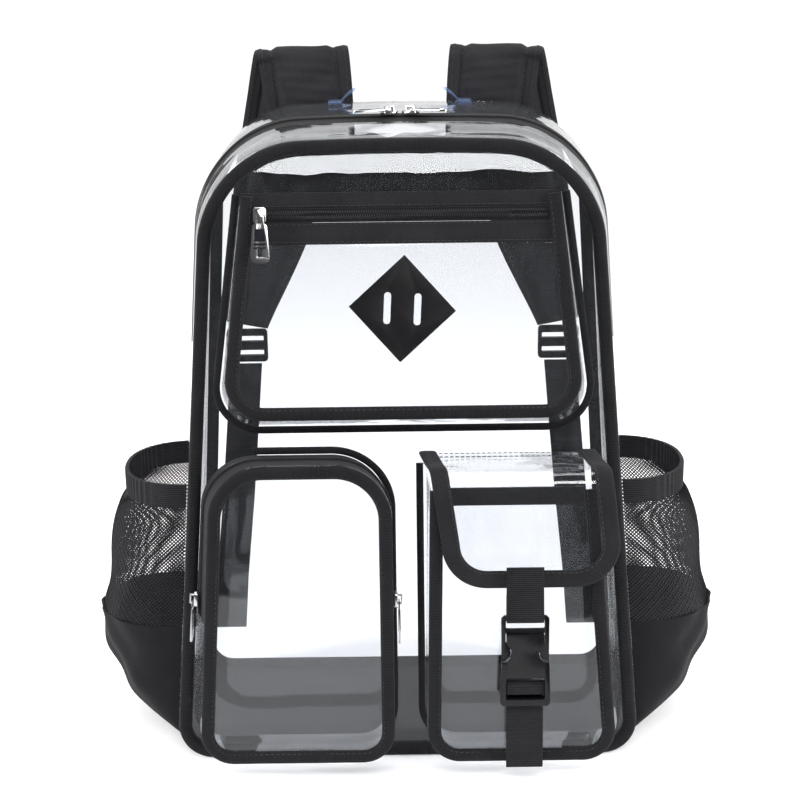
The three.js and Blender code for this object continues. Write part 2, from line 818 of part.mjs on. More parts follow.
function slotPath(half, slotLow, slotHigh, radius) {
  const middle = (slotLow + slotHigh) / 2;
  return rectangle(2 * half, slotHigh - slotLow, radius, 0, middle, THREE.Path);
}

const waistSide = evenly(4, -1, 1).map((share) => {
  const reach = buckle.neckHalf - buckle.waistHalf;
  const height = (buckle.waist - buckle.shoulder) * share;
  return [buckle.neckHalf - reach * (1 - share ** 2), buckle.waist + height];
});
const armGap = 0.5;
const maleShape = mirrored([
  [buckle.halfWidth, buckle.maleTop - 2],
  [buckle.halfWidth - 2, buckle.maleTop],
].toReversed().concat([
  [buckle.halfWidth - 0.2, buckle.shoulder + armGap],
  ...waistSide.slice(1).map(([x, z]) => [x + armGap, z]),
  [buckle.neckHalf + armGap, buckle.maleBottom],
]));
maleShape.holes.push(slotPath(buckle.slotHalf, buckle.maleSlotLow, fastening.upperBar - fastening.bar / 2, 1));
const halfBar = fastening.bar / 2;
add('buckle_male', upright(maleShape, barY - halfBar, barY + halfBar, strapX), looks.plastic);

const femaleTop = buckle.maleBottom - seamGap;
const femaleShape = mirrored([
  [buckle.neckHalf, femaleTop],
  ...waistSide.toReversed(),
  [buckle.halfWidth, buckle.shoulder],
  [buckle.halfWidth + 0.6, buckle.femaleBottom + 2],
  [buckle.halfWidth - 1, buckle.femaleBottom],
]);
femaleShape.holes.push(slotPath(buckle.slotHalf, buckle.slotLow, buckle.slotHigh, 1));
const femaleBack = barY + wrapRadius - webbing.thick / 2 - seamGap;
const femaleBody = upright(femaleShape, femaleBack - buckle.thick, femaleBack, strapX);
const adjuster = new THREE.BoxGeometry(2 * buckle.slotHalf + 1, fastening.bar, fastening.bar);
adjuster.translate(strapX, barY, fastening.adjusterBar);
add('buckle_female', join(femaleBody, adjuster), looks.plastic);

// Zip sliders with their pulls. In a slider's own frame X runs the way the pull lies,
// Y is the pull's hinge and Z stands out of the tape.

const slider = {
  length: 11,
  width: 8.5,
  height: 2.4,
  archLength: 7,
  archWidth: 2,
  archWindow: 2,
  archBar: 1.2,
};
const pull = {
  hinge: 1.2,
  pin: 1.2,
  eyeHalf: 1.5,
  arm: 1.3,
  neck: 6,
  length: 31,
  neckWidth: 9.5,
  endWidth: 12.5,
  endRadius: 4,
  slotWidth: 3.4,
  slotLength: 6,
};
const archPost = slider.archLength / 2 - (pull.hinge + pull.pin / 2 + 0.5);
const hingeHeight = slider.height + slider.archWindow / 2;

function sliderBody() {
  const base = plate(rectangle(slider.length, slider.width, 2.5), 0, slider.height, 2);
  const arch = rectangle(slider.archLength, slider.archWindow + slider.archBar + 0.4, 0.1);
  const window = rectangle(
    slider.archLength - 2 * archPost, slider.archWindow, 0.1, 0, -slider.archBar / 2 + 0.2, THREE.Path,
  );
  arch.holes.push(window);
  const archBody = plate(arch, -slider.archWidth / 2, slider.archWidth / 2, 1).rotateX(Math.PI / 2);
  archBody.translate(0, 0, slider.height + (slider.archWindow + slider.archBar) / 2 - 0.2);
  return join(base, archBody);
}

function pullPlate() {
  const start = pull.hinge - pull.pin / 2;
  const neckHalf = pull.eyeHalf + pull.arm;
  const tip = pull.length;
  const round = pull.endRadius;
  const half = pull.endWidth / 2;
  const shape = new THREE.Shape();
  shape.moveTo(start, -neckHalf);
  shape.lineTo(pull.neck - 1, -neckHalf);
  shape.lineTo(pull.neck + 0.5, -pull.neckWidth / 2);
  shape.lineTo(tip - round, -half);
  shape.absarc(tip - round, -half + round, round, -Math.PI / 2, 0);
  shape.absarc(tip - round, half - round, round, 0, Math.PI / 2);
  shape.lineTo(pull.neck + 0.5, pull.neckWidth / 2);
  shape.lineTo(pull.neck - 1, neckHalf);
  shape.lineTo(start, neckHalf);
  const eyeEnd = pull.neck - 0.6;
  const eyeStart = start + pull.pin;
  const eyeLength = eyeEnd - eyeStart;
  shape.holes.push(rectangle(eyeLength, 2 * pull.eyeHalf, 0.1, eyeStart + eyeLength / 2, 0, THREE.Path));
  const slotX = tip - round - pull.slotLength / 2;
  shape.holes.push(rectangle(pull.slotLength, pull.slotWidth, 0.6, slotX, 0, THREE.Path));
  return plate(shape, hingeHeight - pull.pin / 2, hingeHeight + pull.pin / 2, 3);
}

// A slider's flat base stands a little off the ridge of the coil
const sliderLift = 3 * seamGap;

// Places a slider and its pull on a spot, with its pull lying one way and its top facing another
function addSlider(name, pullName, spot, lie, face) {
  const seat = new THREE.Group();
  const up = face.clone().normalize();
  const hinge = up.clone().cross(lie).normalize();
  const along = hinge.clone().cross(up);
  seat.quaternion.setFromRotationMatrix(new THREE.Matrix4().makeBasis(along, hinge, up));
  seat.position.copy(spot).addScaledVector(up, sliderLift);
  add(name, sliderBody(), looks.metal, seat);
  add(pullName, pullPlate(), looks.enamel, seat);
  part.add(seat);
}

const zipMiddle = mix(zipBandLow, zipBandHigh, 0.5);
const sliderRoom = pipingRoom + slider.width / 2 + seamGap;
const upperSpot = onUpperFace(sliderRoom - upperHalf(zipMiddle), zipMiddle);
const upperFaceOut = new THREE.Vector3(0, -Math.cos(faceLean), Math.sin(faceLean));
upperSpot.addScaledVector(upperFaceOut, seamGap + vinyl + zip.coilRise);
addSlider('upper_slider', 'upper_pull', upperSpot, new THREE.Vector3(0, 0, -1), upperFaceOut);

// A spot on a wall's coil with the wall's facing there
function onWall(wall, index, share) {
  const spot = wall.at(index, share, zip.coilRise);
  const face = wall.at(index, share, 1).sub(wall.at(index, share, 0));
  return { spot, face };
}

// The two sliders of the main zip meet near the middle, their pulls lying outward and forward
const mainSlider = { half: 7.5, lie: 34 };
const crownRun = bagWall.knot(mark.topRight, 0.5, 0).x;
for (const [side, label] of [[-1, 'left'], [1, 'right']]) {
  const share = 0.5 - (side * mainSlider.half) / crownRun / 2;
  const index = mix(mark.topRight, mark.highLeft, share);
  const { spot, face } = onWall(bagWall, index, (zipFront + zipRear) / 2);
  const angle = THREE.MathUtils.degToRad(mainSlider.lie);
  const lie = new THREE.Vector3(side * Math.cos(angle), -Math.sin(angle), 0);
  addSlider(`main_slider_${label}`, `main_pull_${label}`, spot, lie, face);
}

// The left pocket's two sliders stand at the lower ends of its zip, their pulls hanging down
for (const [label, index] of [['inner', leftZipRange[0] + 0.35], ['outer', leftZipRange[1] - 0.35]]) {
  const { spot, face } = onWall(leftWall, index, 0.5);
  const down = new THREE.Vector3(0, 0, -1);
  addSlider(`left_slider_${label}`, `left_pull_${label}`, spot, down, face);
}

// Side pockets: a net over a cloth foot, with an elastic hem, bowed out from the bag's side.
// reach is how far the pocket stands out of the side at each height.

const sidePocket = {
  front: -66,
  rear: 56,
  netThick: 1,
  hemHeight: 17,
  hemThick: 2.4,
  columns: 8,
};
const netRows = [
  { z: 180, reach: 45 },
  { z: 168, reach: 53 },
  { z: 124, reach: 56 },
  { z: 93, reach: 62 },
];
const footRows = [
  { z: 92.7, reach: 62.5 },
  { z: 58, reach: 54 },
  { z: 38, reach: 44 },
  { z: 25, reach: 31 },
  { z: 16, reach: 17 },
  { z: 9, reach: 5 },
];
const hemRows = [
  { z: 180 + seamGap + sidePocket.hemHeight, reach: 47 },
  { z: 180 + seamGap, reach: 45.6 },
];

// How far the bag's side stands from the middle at a height and a depth
function sideReach(y, z) {
  const share = (y + halfDepth) / bag.depth;
  const front = mix(bag.bottomHalf, bag.frontTopHalf, z / bag.frontHeight);
  const rear = mix(bag.bottomHalf, bag.backTopHalf, z / bag.backHeight);
  const under = Math.max(0, bag.bottomRadius - z);
  const tuck = bag.bottomRadius - Math.sqrt(bag.bottomRadius ** 2 - under ** 2);
  return mix(front, rear, share) - tuck + bagPuff(z) * Math.sin(Math.PI * share);
}

function bowed(side, rows, thick) {
  const columns = evenly(sidePocket.columns, 0, Math.PI).map((angle) => (1 - Math.cos(angle)) / 2);
  const face = (depth) => grid(rows, columns, ({ z, reach }, share) => {
    const y = mix(sidePocket.front + depth, sidePocket.rear - depth, share);
    const bow = (1 - Math.abs(2 * share - 1) ** 2.4) ** (1 / 2.4);
    const out = sideReach(y, z) + 2 * seamGap + (reach - depth) * bow;
    return new THREE.Vector3(side * out, y, z);
  });
  return slab(face(0), face(thick));
}

for (const [side, label] of [[-1, 'left'], [1, 'right']]) {
  add(`side_mesh_${label}`, bowed(side, netRows, sidePocket.netThick), looks.net);
  add(`side_base_${label}`, bowed(side, footRows, cloth), looks.black);
  add(`side_elastic_${label}`, bowed(side, hemRows, sidePocket.hemThick), looks.black);
}

// The yoke on the back carries the straps

const backFace = halfDepth + seamGap;
const yoke = {
  lowHalf: 86,
  middleHalf: 109,
  highHalf: 96,
  low: 366,
  middle: 402,
  high: 426,
  thick: 2.2,
};
const yokeShape = mirrored([
  [yoke.lowHalf, yoke.low],
  [yoke.middleHalf, yoke.middle],
  [yoke.highHalf, yoke.high],
]);
add('yoke', upright(yokeShape, backFace, backFace + yoke.thick), looks.black);

// The left strap's middle line from the yoke over its arch to its lower end; the right mirrors it.
// back is the distance behind the back panel, out the distance from the middle.

const strap = { padThick: 9, edgeThick: 3, padShare: 0.68, anchor: 36 };
const strapRows = [
  { out: 65, back: 7.6, z: 388, width: 60 },
  { out: 66, back: 9.4, z: 425, width: 64 },
  { out: 69, back: 12, z: 462, width: 67 },
  { out: 72, back: 19, z: 483.5, width: 68 },
  { out: 76, back: 33, z: 478, width: 68 },
  { out: 84, back: 42, z: 440, width: 68 },
  { out: 93, back: 44, z: 395, width: 68 },
  { out: 104, back: 40, z: 345, width: 62 },
  { out: 116, back: 32, z: 302, width: 46 },
  { out: 121, back: 26, z: 276, width: 32 },
];
const strapPath = new THREE.CatmullRomCurve3(
  strapRows.map(({ out, back, z }) => new THREE.Vector3(out, halfDepth + back, z)), false, 'centripetal',
);
const strapSteps = 18;

function strapWidth(share) {
  const place = share * (strapRows.length - 1);
  const row = Math.min(Math.floor(place), strapRows.length - 2);
  return mix(strapRows[row].width, strapRows[row + 1].width, place - row);
}

// Across the strap: half its width as a share, and half its thickness
function strapSection(width) {
  const pad = width * strap.padShare / 2;
  return [
    { across: -width / 2, half: strap.edgeThick / 2 },
    { across: -pad - 1, half: strap.edgeThick / 2 },
    { across: -pad + 4, half: strap.padThick / 2 },
    { across: pad - 4, half: strap.padThick / 2 },
    { across: pad + 1, half: strap.edgeThick / 2 },
    { across: width / 2, half: strap.edgeThick / 2 },
  ];
}

function strapBody(side) {
  const face = (sign) => evenly(strapSteps).map((share) => {
    const spot = strapPath.getPoint(share);
    const tangent = strapPath.getTangent(share);
    const normal = new THREE.Vector3(1, 0, 0).cross(tangent).normalize();
    const across = tangent.clone().cross(normal).normalize();
    return strapSection(strapWidth(share)).map((corner) => {
      const place = spot.clone().addScaledVector(across, corner.across);
      place.addScaledVector(normal, sign * corner.half);
      place.x *= side;
      return place;
    });
  });
  return slab(face(1), face(-1));
}

// The ladder lock at the strap's lower end, and the webbing from it to the bag's foot

const lock = { width: 32, height: 26, thick: 4, slot: 4.6 };
const strapEnd = strapRows.at(-1);
const lockTop = strapEnd.z - strap.edgeThick;
const lockShape = rectangle(lock.width, lock.height, 3, 0, -lock.height / 2);
for (const share of [0.28, 0.72]) {
  const slotY = -share * lock.height;
  lockShape.holes.push(rectangle(webbing.width + 1, lock.slot, 0.5, 0, slotY, THREE.Path));
}
const webbingRows = [
  { out: 122.5, back: 21.5, z: lockTop - lock.height - 0.5 },
  { out: 126, back: 17, z: 200 },
  { out: 131, back: 12, z: 140 },
  { out: 137, back: 6, z: 80 },
  { out: 140, back: seamGap + webbing.thick, z: strap.anchor },
];

function strapWebbing(side) {
  const half = webbing.width / 2;
  const rows = webbingRows.map(({ out, back, z }) => {
    const corners = [[-half, 0], [half, 0], [half, webbing.thick], [-half, webbing.thick]];
    return corners.map(([across, depth]) => (
      new THREE.Vector3(side * (out + across), halfDepth + back - depth + webbing.thick / 2, z)
    ));
  });
  return sweep(rows);
}

for (const [side, label] of [[-1, 'left'], [1, 'right']]) {
  add(`strap_${label}`, strapBody(side), looks.black);
  add(`strap_webbing_${label}`, strapWebbing(side), looks.black);
  const seat = new THREE.Group();
  seat.position.set(side * (strapEnd.out + 0.5), halfDepth + strapEnd.back - 1, lockTop);
  seat.rotation.x = Math.PI / 2 + 0.1;
  add(`ladder_lock_${label}`, plate(lockShape, -lock.thick / 2, lock.thick / 2, 2), looks.plastic, seat);
  part.add(seat);
}

// The carry handle is a clear band that arches over the middle of the top

const handle = { half: 52, tab: 10, rise: 15, width: 22, thick: 1.8, fromBack: 14 };
function topHeight(x, fromBack) {
  const share = shareOf(bag.depth - fromBack);
  const half = bagWall.knot(mark.topRight, share, 0).x;
  const index = mix(mark.topRight, mark.highLeft, 0.5 - x / half / 2);
  return bagWall.at(index, share, 0).z;
}
const handleRows = evenly(12, -handle.half, handle.half).map((x) => {
  const inner = handle.half - handle.tab;
  const arch = Math.max(0, 1 - (x / inner) ** 2) ** 0.6;
  return { x, lift: 2 * seamGap + handle.rise * arch };
});
const handleEdge = handle.width / 2;
const handleBody = sweep(handleRows.map(({ x, lift }) => {
  const corners = [[handleEdge, 0], [-handleEdge, 0], [-handleEdge, 1], [handleEdge, 1]];
  return corners.map(([back, face]) => {
    const fromBack = handle.fromBack + back;
    const height = topHeight(x, fromBack) + lift + face * handle.thick;
    return new THREE.Vector3(x, halfDepth - fromBack, height);
  });
}));
add('carry_handle', handleBody, looks.tinted);

export default part;
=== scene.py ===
# %% [markdown]
# # A clear vinyl backpack with black trim
# The bag is a box of clear vinyl sheets, bound and edged with black tape, with zips, a buckled
# flap, net side pockets and padded straps. The solids of the frame say where every piece is.
# This script works the same outlines out again as finer surfaces, and gives each its finish.

# %% Load the frame and its joints
import math

import bpy
import numpy as np
from mathutils import Matrix, Vector
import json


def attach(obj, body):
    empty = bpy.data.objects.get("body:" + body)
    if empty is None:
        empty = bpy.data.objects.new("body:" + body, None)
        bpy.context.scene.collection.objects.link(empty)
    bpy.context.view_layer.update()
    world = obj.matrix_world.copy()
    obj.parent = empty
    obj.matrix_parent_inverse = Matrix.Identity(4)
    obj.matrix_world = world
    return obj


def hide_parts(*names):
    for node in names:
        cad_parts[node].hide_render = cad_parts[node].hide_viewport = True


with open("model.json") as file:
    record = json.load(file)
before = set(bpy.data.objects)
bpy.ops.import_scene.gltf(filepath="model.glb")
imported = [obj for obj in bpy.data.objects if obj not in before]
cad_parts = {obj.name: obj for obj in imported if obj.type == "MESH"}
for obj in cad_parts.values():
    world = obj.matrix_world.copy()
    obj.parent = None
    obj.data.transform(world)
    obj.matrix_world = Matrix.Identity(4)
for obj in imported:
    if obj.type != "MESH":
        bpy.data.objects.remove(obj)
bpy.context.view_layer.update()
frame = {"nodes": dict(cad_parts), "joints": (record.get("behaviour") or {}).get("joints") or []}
BAG = "bag"
MM = 0.001

# %% [markdown]
# ## The camera
# A camera on the real photograph stood a little over a metre in front of the bag and looked down
# at it. A long lens keeps the sides nearly parallel. The camera is placed first, so that every
# later choice of detail can be judged in its view.

# %% Camera
CAMERA_AT = (0.0, -1.219, 0.535)
CAMERA_DOWN = math.radians(13.6)
CAMERA_ROLL = math.radians(-0.76)
CAMERA_PAN = math.radians(-0.12)
LENS_MM = 77.9

camera_data = bpy.data.cameras.new("camera")
camera_data.lens = LENS_MM
camera_data.sensor_width = 36.0
camera = bpy.data.objects.new("camera", camera_data)
bpy.context.scene.collection.objects.link(camera)
bpy.context.scene.camera = camera

ahead = Vector((
    math.sin(CAMERA_PAN) * math.cos(CAMERA_DOWN),
    math.cos(CAMERA_PAN) * math.cos(CAMERA_DOWN),
    -math.sin(CAMERA_DOWN),
))
rightward = Vector((math.cos(CAMERA_PAN), -math.sin(CAMERA_PAN), 0))
upward = rightward.cross(ahead)
turned_right = rightward * math.cos(CAMERA_ROLL) + upward * math.sin(CAMERA_ROLL)
turned_up = turned_right.cross(ahead)
camera.matrix_world = Matrix.Translation(CAMERA_AT) @ Matrix((
    (turned_right.x, turned_up.x, -ahead.x, 0),
    (turned_right.y, turned_up.y, -ahead.y, 0),
    (turned_right.z, turned_up.z, -ahead.z, 0),
    (0, 0, 0, 1),
))
print("the camera looks along", tuple(round(value, 3) for value in ahead))

# %% [markdown]
# ## Shader sums
# A finish is worked out from numbers that change over the surface. A wrapped socket lets such a
# sum be written as an ordinary Python expression, and every operator adds one Math node.

# %% A socket that can be added and multiplied


class Sum:
    """One output socket of a node tree. Its operators add Math nodes."""

    def __init__(self, paint, socket):
        self.paint = paint
        self.socket = socket

    def _math(self, operation, *values):
        names = dict(enumerate(values))
        return self.paint.node("ShaderNodeMath", {"operation": operation}, names)

    def __add__(self, other):
        return self._math("ADD", self, other)

    def __radd__(self, other):
        return self._math("ADD", other, self)

    def __sub__(self, other):
        return self._math("SUBTRACT", self, other)

    def __rsub__(self, other):
        return self._math("SUBTRACT", other, self)

    def __mul__(self, other):
        return self._math("MULTIPLY", self, other)

    def __rmul__(self, other):
        return self._math("MULTIPLY", other, self)

    def __truediv__(self, other):
        return self._math("DIVIDE", self, other)

    def __pow__(self, other):
        return self._math("POWER", self, other)

    def sin(self):
        return self._math("SINE", self)

    def size(self):
        return self._math("ABSOLUTE", self)

    def at_least(self, other):
        return self._math("MAXIMUM", self, other)

    def at_most(self, other):
        return self._math("MINIMUM", self, other)


class Paint:
    """A material with its node tree, and one method that adds any node to it."""

    def __init__(self, name, slot):
        self.material = bpy.data.materials.new(name)
        self.material.use_nodes = True
        self.slot = slot
        self.tree = self.material.node_tree
        self.tree.nodes.clear()

    def node(self, kind, settings=None, inputs=None, output=0):
        made = self.tree.nodes.new(kind)
        for key, value in (settings or {}).items():
            setattr(made, key, value)
        for key, value in (inputs or {}).items():
            socket = made.inputs[key]
            if isinstance(value, Sum):
                self.tree.links.new(value.socket, socket)
            else:
                socket.default_value = value
        return Sum(self, made.outputs[output])

    def place(self):
        """The point of the surface in metres, in the frame of the whole bag."""
        return self.node("ShaderNodeTexCoord", output=3)

    def lengths(self):
        """The two lengths along a sheet or a tape, in metres: across it, and along it."""
        both = self.node("ShaderNodeUVMap", {"uv_map": "cloth"})
        across = self.node("ShaderNodeSeparateXYZ", inputs={0: both})
        along = self.node("ShaderNodeSeparateXYZ", inputs={0: both}, output=1)
        return across, along

    def noise(self, scale, detail=2.0, roughness=0.5, stretch=(1, 1, 1)):
        spot = self.node("ShaderNodeMapping", inputs={"Vector": self.place(), "Scale": stretch})
        values = {"Vector": spot, "Scale": scale, "Detail": detail, "Roughness": roughness}
        return self.node("ShaderNodeTexNoise", inputs=values)

    def colours(self, share, low, high):
        settings = {"data_type": "RGBA"}
        values = {0: share, 6: (*low, 1), 7: (*high, 1)}
        return self.node("ShaderNodeMix", settings, values, output=2)

    def bump(self, height, depth, below=None):
        values = {"Height": height, "Strength": 1.0, "Distance": depth}
        if below is not None:
            values["Normal"] = below
        return self.node("ShaderNodeBump", inputs=values)

    def shader(self, values):
        return self.node("ShaderNodeBsdfPrincipled", inputs=values)

    def finish(self, shader):
        out = self.tree.nodes.new("ShaderNodeOutputMaterial")
        self.tree.links.new(shader.socket, out.inputs["Surface"])
        return self


# %% [markdown]
# ## Clear vinyl
# Vinyl is seen by what it mirrors: nearly nothing where it is looked at squarely, and more and more
# towards its edges. So a clear shader and a mirror-like one are mixed by how far the surface turns
# away, and slow waves in its normals break the lights into the long white streaks of soft plastic.
# A glass shader would do the same with far more light paths, and thin film hardly bends light. The
# front sheet also rolls back under its top seam, which holds one bright streak there, and the tint
# of the carry handle shows only towards its two sewn ends.

# %% Clear and tinted vinyl


def vinyl_paint(name, slot, tint, gloss, least, most, wave, hue, roll=None, ends=None):
    """Mixes a clear and a bright shader; the share mirrored is least plus most times facing ** 4.

    roll is a low and a high height with the depth that the film falls back between them, and ends
    is how far from the middle the tint begins.
    """
    paint = Paint(name, slot)
    broad = paint.noise(11.0, 1.0, 0.4, stretch=(1.0, 1.0, 0.45))
    fine = paint.noise(60.0, 1.0, 0.4, stretch=(1.0, 1.0, 0.3))
    normal = paint.bump(broad, wave)
    normal = paint.bump(fine, wave * 0.05, normal)
    if roll:
        height = paint.node("ShaderNodeSeparateXYZ", inputs={0: paint.place()}, output=2)
        low, high, depth = roll
        start = low + 0.009 * (paint.noise(26.0, 1.0, stretch=(1, 0, 0)) - 0.5)
        ramp = ((height - start) / (high - low)).at_least(0.0).at_most(1.0)
        normal = paint.bump(1.0 - ramp, depth, normal)
    facing_values = {"Blend": 0.5, "Normal": normal}
    facing = paint.node("ShaderNodeLayerWeight", inputs=facing_values, output=1)
    share = least + most * facing ** 4.0
    clear = paint.node("ShaderNodeBsdfTransparent", inputs={"Color": (*tint, 1)})
    bright = paint.shader({
        "Base Color": (*hue, 1),
        "Metallic": gloss,
        "Roughness": 0.03 + 0.04 * paint.noise(30.0),
        "Normal": normal,
    })
    mixed = paint.node("ShaderNodeMixShader", inputs={0: share, 1: clear, 2: bright})
    if ends:
        side = paint.node("ShaderNodeSeparateXYZ", inputs={0: paint.place()}).size()
        from_middle = ((side - ends) * 200.0).at_least(0.06).at_most(1.0)
        plain = paint.node("ShaderNodeBsdfTransparent")
        mixed = paint.node("ShaderNodeMixShader", inputs={0: from_middle, 1: plain, 2: mixed})
    return paint.finish(mixed)


FILM = {
    "slot": "clear_vinyl", "tint": (0.958, 0.962, 0.970), "gloss": 0.96,
    "least": 0.035, "most": 0.8, "hue": (0.93, 0.95, 0.97),
}
clear_vinyl = vinyl_paint("clear_vinyl", wave=0.009, **FILM)
front_vinyl = vinyl_paint("front_vinyl", wave=0.004, roll=(0.413, 0.426, 0.0042), **FILM)
tinted_vinyl = vinyl_paint(
    "tinted_vinyl", "tinted_vinyl", tint=(0.62, 0.74, 0.95), gloss=0.7,
    least=0.16, most=0.6, wave=0.006, hue=(0.55, 0.68, 0.95), ends=0.03,
)
print("vinyl finishes:", *(v.material.name for v in (clear_vinyl, front_vinyl, tinted_vinyl)))

# %% [markdown]
# ## Black cloths
# Tape, webbing, zip tape and pack cloth are all black, and are told apart by their weave. Each
# weave is a height worked out from the two lengths along the cloth: ribs across a tape are one
# sine, a plain weave is a product of two, and a twill is a sine of their sum. The same height
# paints a small highlight on the crowns of the threads, and noise adds lint and uneven dye.

# %% Woven finishes


def woven(name, slot, pattern, pitch, depth, low, high, roughness=0.78, sheen=0.03):
    """A cloth whose weave is a function of the lengths across and along it."""
    paint = Paint(name, slot)
    across, along = paint.lengths()
    turn = 2 * math.pi / pitch
    height = pattern(across * turn, along * turn)
    cloudy = paint.noise(38.0, 3.0)
    specks = paint.noise(900.0, 1.0, 0.6)
    # painted highlight: the weave height makes the thread crowns lighter; cloudy noise adds uneven dye and
    # specks add lint
    light = (0.55 * height + 0.35 * cloudy + 0.5 * specks - 0.35).at_least(0.0).at_most(1.0)
    colour = paint.colours(light, low, high)
    normal = paint.bump(cloudy, 0.0012)
    normal = paint.bump(height, depth, normal)
    shader = paint.shader({
        "Base Color": colour,
        "Roughness": roughness - 0.12 * height,
        "Sheen Weight": sheen,
        "Sheen Roughness": 0.45,
        "Specular IOR Level": 0.12,
        "Normal": normal,
    })
    return paint.finish(shader)


def ribs(across, along):
    """Ribs across a tape, each with the small steps of its threads."""
    return 0.5 + 0.5 * along.sin() * (0.85 + 0.15 * (across * 0.7).sin())


def plain_weave(across, along):
    """Threads over and under one another in turn."""
    return 0.5 + 0.5 * across.sin() * along.sin()


def twill(across, along):
    """Slanting ribs."""
    return 0.5 + 0.5 * (across + along).sin()


def herringbone(across, along):
    """Twill that slants one way on one half of a tape and the other way on the rest."""
    return 0.5 + 0.5 * (along + (across * 0.5).size() * 2.0).sin()


BLACK_LOW = (0.002, 0.002, 0.0025)
DEEP_LOW = (0.002, 0.002, 0.003)
SOFT_LOW = (0.004, 0.004, 0.005)
tape = woven("binding_tape", "binding_tape", ribs, 0.0011, 0.00016, BLACK_LOW, (0.020, 0.020, 0.023))
band = woven("twill_band", "binding_tape", herringbone, 0.0014, 0.00016, BLACK_LOW, (0.030, 0.030, 0.033))
zip_tape = woven("zip_tape", "zip_tape", twill, 0.0013, 0.00010, BLACK_LOW, (0.020, 0.020, 0.023))
webbing = woven("webbing", "webbing", ribs, 0.0014, 0.00026, BLACK_LOW, (0.028, 0.028, 0.031))
pack_cloth = woven(
    "pack_cloth", "black_fabric", plain_weave, 0.0014, 0.00014, SOFT_LOW, (0.030, 0.030, 0.034),
)
base_cloth = woven(
    "base_cloth", "base_fabric", plain_weave, 0.0012, 0.00012, DEEP_LOW, (0.016, 0.016, 0.019),
)
foot_cloth = woven(
    "foot_cloth", "black_fabric", plain_weave, 0.0014, 0.00018, DEEP_LOW, (0.015, 0.015, 0.018),
)
leather = woven(
    "tab_leather", "black_fabric", plain_weave, 0.0021, 0.00006, SOFT_LOW, (0.014, 0.014, 0.015),
    roughness=0.5, sheen=0.02,
)
print("cloth finishes:", len([tape, band, zip_tape, webbing, pack_cloth, base_cloth, foot_cloth, leather]))

# %% [markdown]
# ## Thread, net, plastic and metal
# These are told by gloss. Thread and net yarn are a little lighter than the cloth behind them.
# Moulded plastic has a fine grain with a soft sheen. Plated metal mirrors the lights, and its
# enamel inlay is black and glossy.

# %% Glossy and plain finishes


def moulded(name, slot, low, high, roughness, grain, metallic=0.0, coat=0.0):
    """A finish with cloudy colour and roughness and a fine grain in its normals."""
    paint = Paint(name, slot)
    cloudy = paint.noise(70.0, 2.0)
    fine = paint.noise(1500.0, 1.0)
    return paint.finish(paint.shader({
        "Base Color": paint.colours(cloudy, low, high),
        "Metallic": metallic,
        "Roughness": roughness + 0.12 * (cloudy - 0.5) + 0.05 * fine,
        "Coat Weight": coat,
        "Coat Roughness": 0.06,
        "Specular IOR Level": 0.5 if metallic else 0.2,
        "Normal": paint.bump(fine, grain),
    }))


thread = moulded("thread", "black_fabric", (0.012, 0.012, 0.014), (0.045, 0.045, 0.050), 0.60, 0.00005)
yarn = moulded("net_yarn", "black_net", (0.006, 0.006, 0.007), (0.022, 0.022, 0.026), 0.60, 0.00005)
coil = moulded("zip_coil", "zip_tape", (0.005, 0.005, 0.006), (0.020, 0.020, 0.022), 0.32, 0.00002)
plastic = moulded(
    "black_plastic", "black_plastic", (0.003, 0.003, 0.004), (0.008, 0.008, 0.009), 0.22, 0.00003,
)
metal = moulded("bright_metal", "bright_metal", (0.40, 0.40, 0.41), (0.58, 0.58, 0.59), 0.16, 0.00001, 1.0)
enamel = moulded(
    "black_enamel", "black_enamel", (0.006, 0.006, 0.009), (0.016, 0.016, 0.021), 0.12, 0.00001, coat=0.5,
)
print("glossy finishes:", thread.material.name, plastic.material.name, metal.material.name)

# %% [markdown]
# ## Meshes from whole arrays
# Every new piece is a grid of points, or a section carried along a path. The points are worked
# out as one array and put into the mesh in one call, which is far quicker than a loop, and the
# lengths along the rows and columns become a UV map in metres for the weaves.

# %% Grid meshes


def grid_quads(rows, columns, ring=False, closed=False, start=0):
    """Quads between neighbouring points; ring joins the last row to the first, closed the columns."""
    i = np.arange(rows if ring else rows - 1)
    j = np.arange(columns if closed else columns - 1)
    i, j = np.meshgrid(i, j, indexing="ij")
    below, beside = (i + 1) % rows, (j + 1) % columns
    corners = [(i, j), (below, j), (below, beside), (i, beside)]
    return np.stack([start + a * columns + b for a, b in corners], -1).reshape(-1, 4)


def lengths_of(points):
    """For each point of a grid, the mean length along its row and down its column."""
    down = np.linalg.norm(np.diff(points, axis=0), axis=2).mean(1)
    over = np.linalg.norm(np.diff(points, axis=1), axis=2).mean(0)
    v = np.concatenate([[0], np.cumsum(down)])
    u = np.concatenate([[0], np.cumsum(over)])
    across, along = np.meshgrid(u - u[-1] / 2, v)
    return np.stack([across, along], -1)


def outward(points, faces):
    """Turns the faces round where the closed body's volume comes out negative."""
    volume = 0.0
    for group in faces:
        a, b, c = (points[group[:, k]] for k in (0, 1, 2))
        volume += np.einsum("ij,ij->i", a, np.cross(b, c)).sum()
        if group.shape[1] == 4:
            d = points[group[:, 3]]
            volume += np.einsum("ij,ij->i", a, np.cross(c, d)).sum()
    return [group[:, ::-1] for group in faces] if volume < 0 else faces


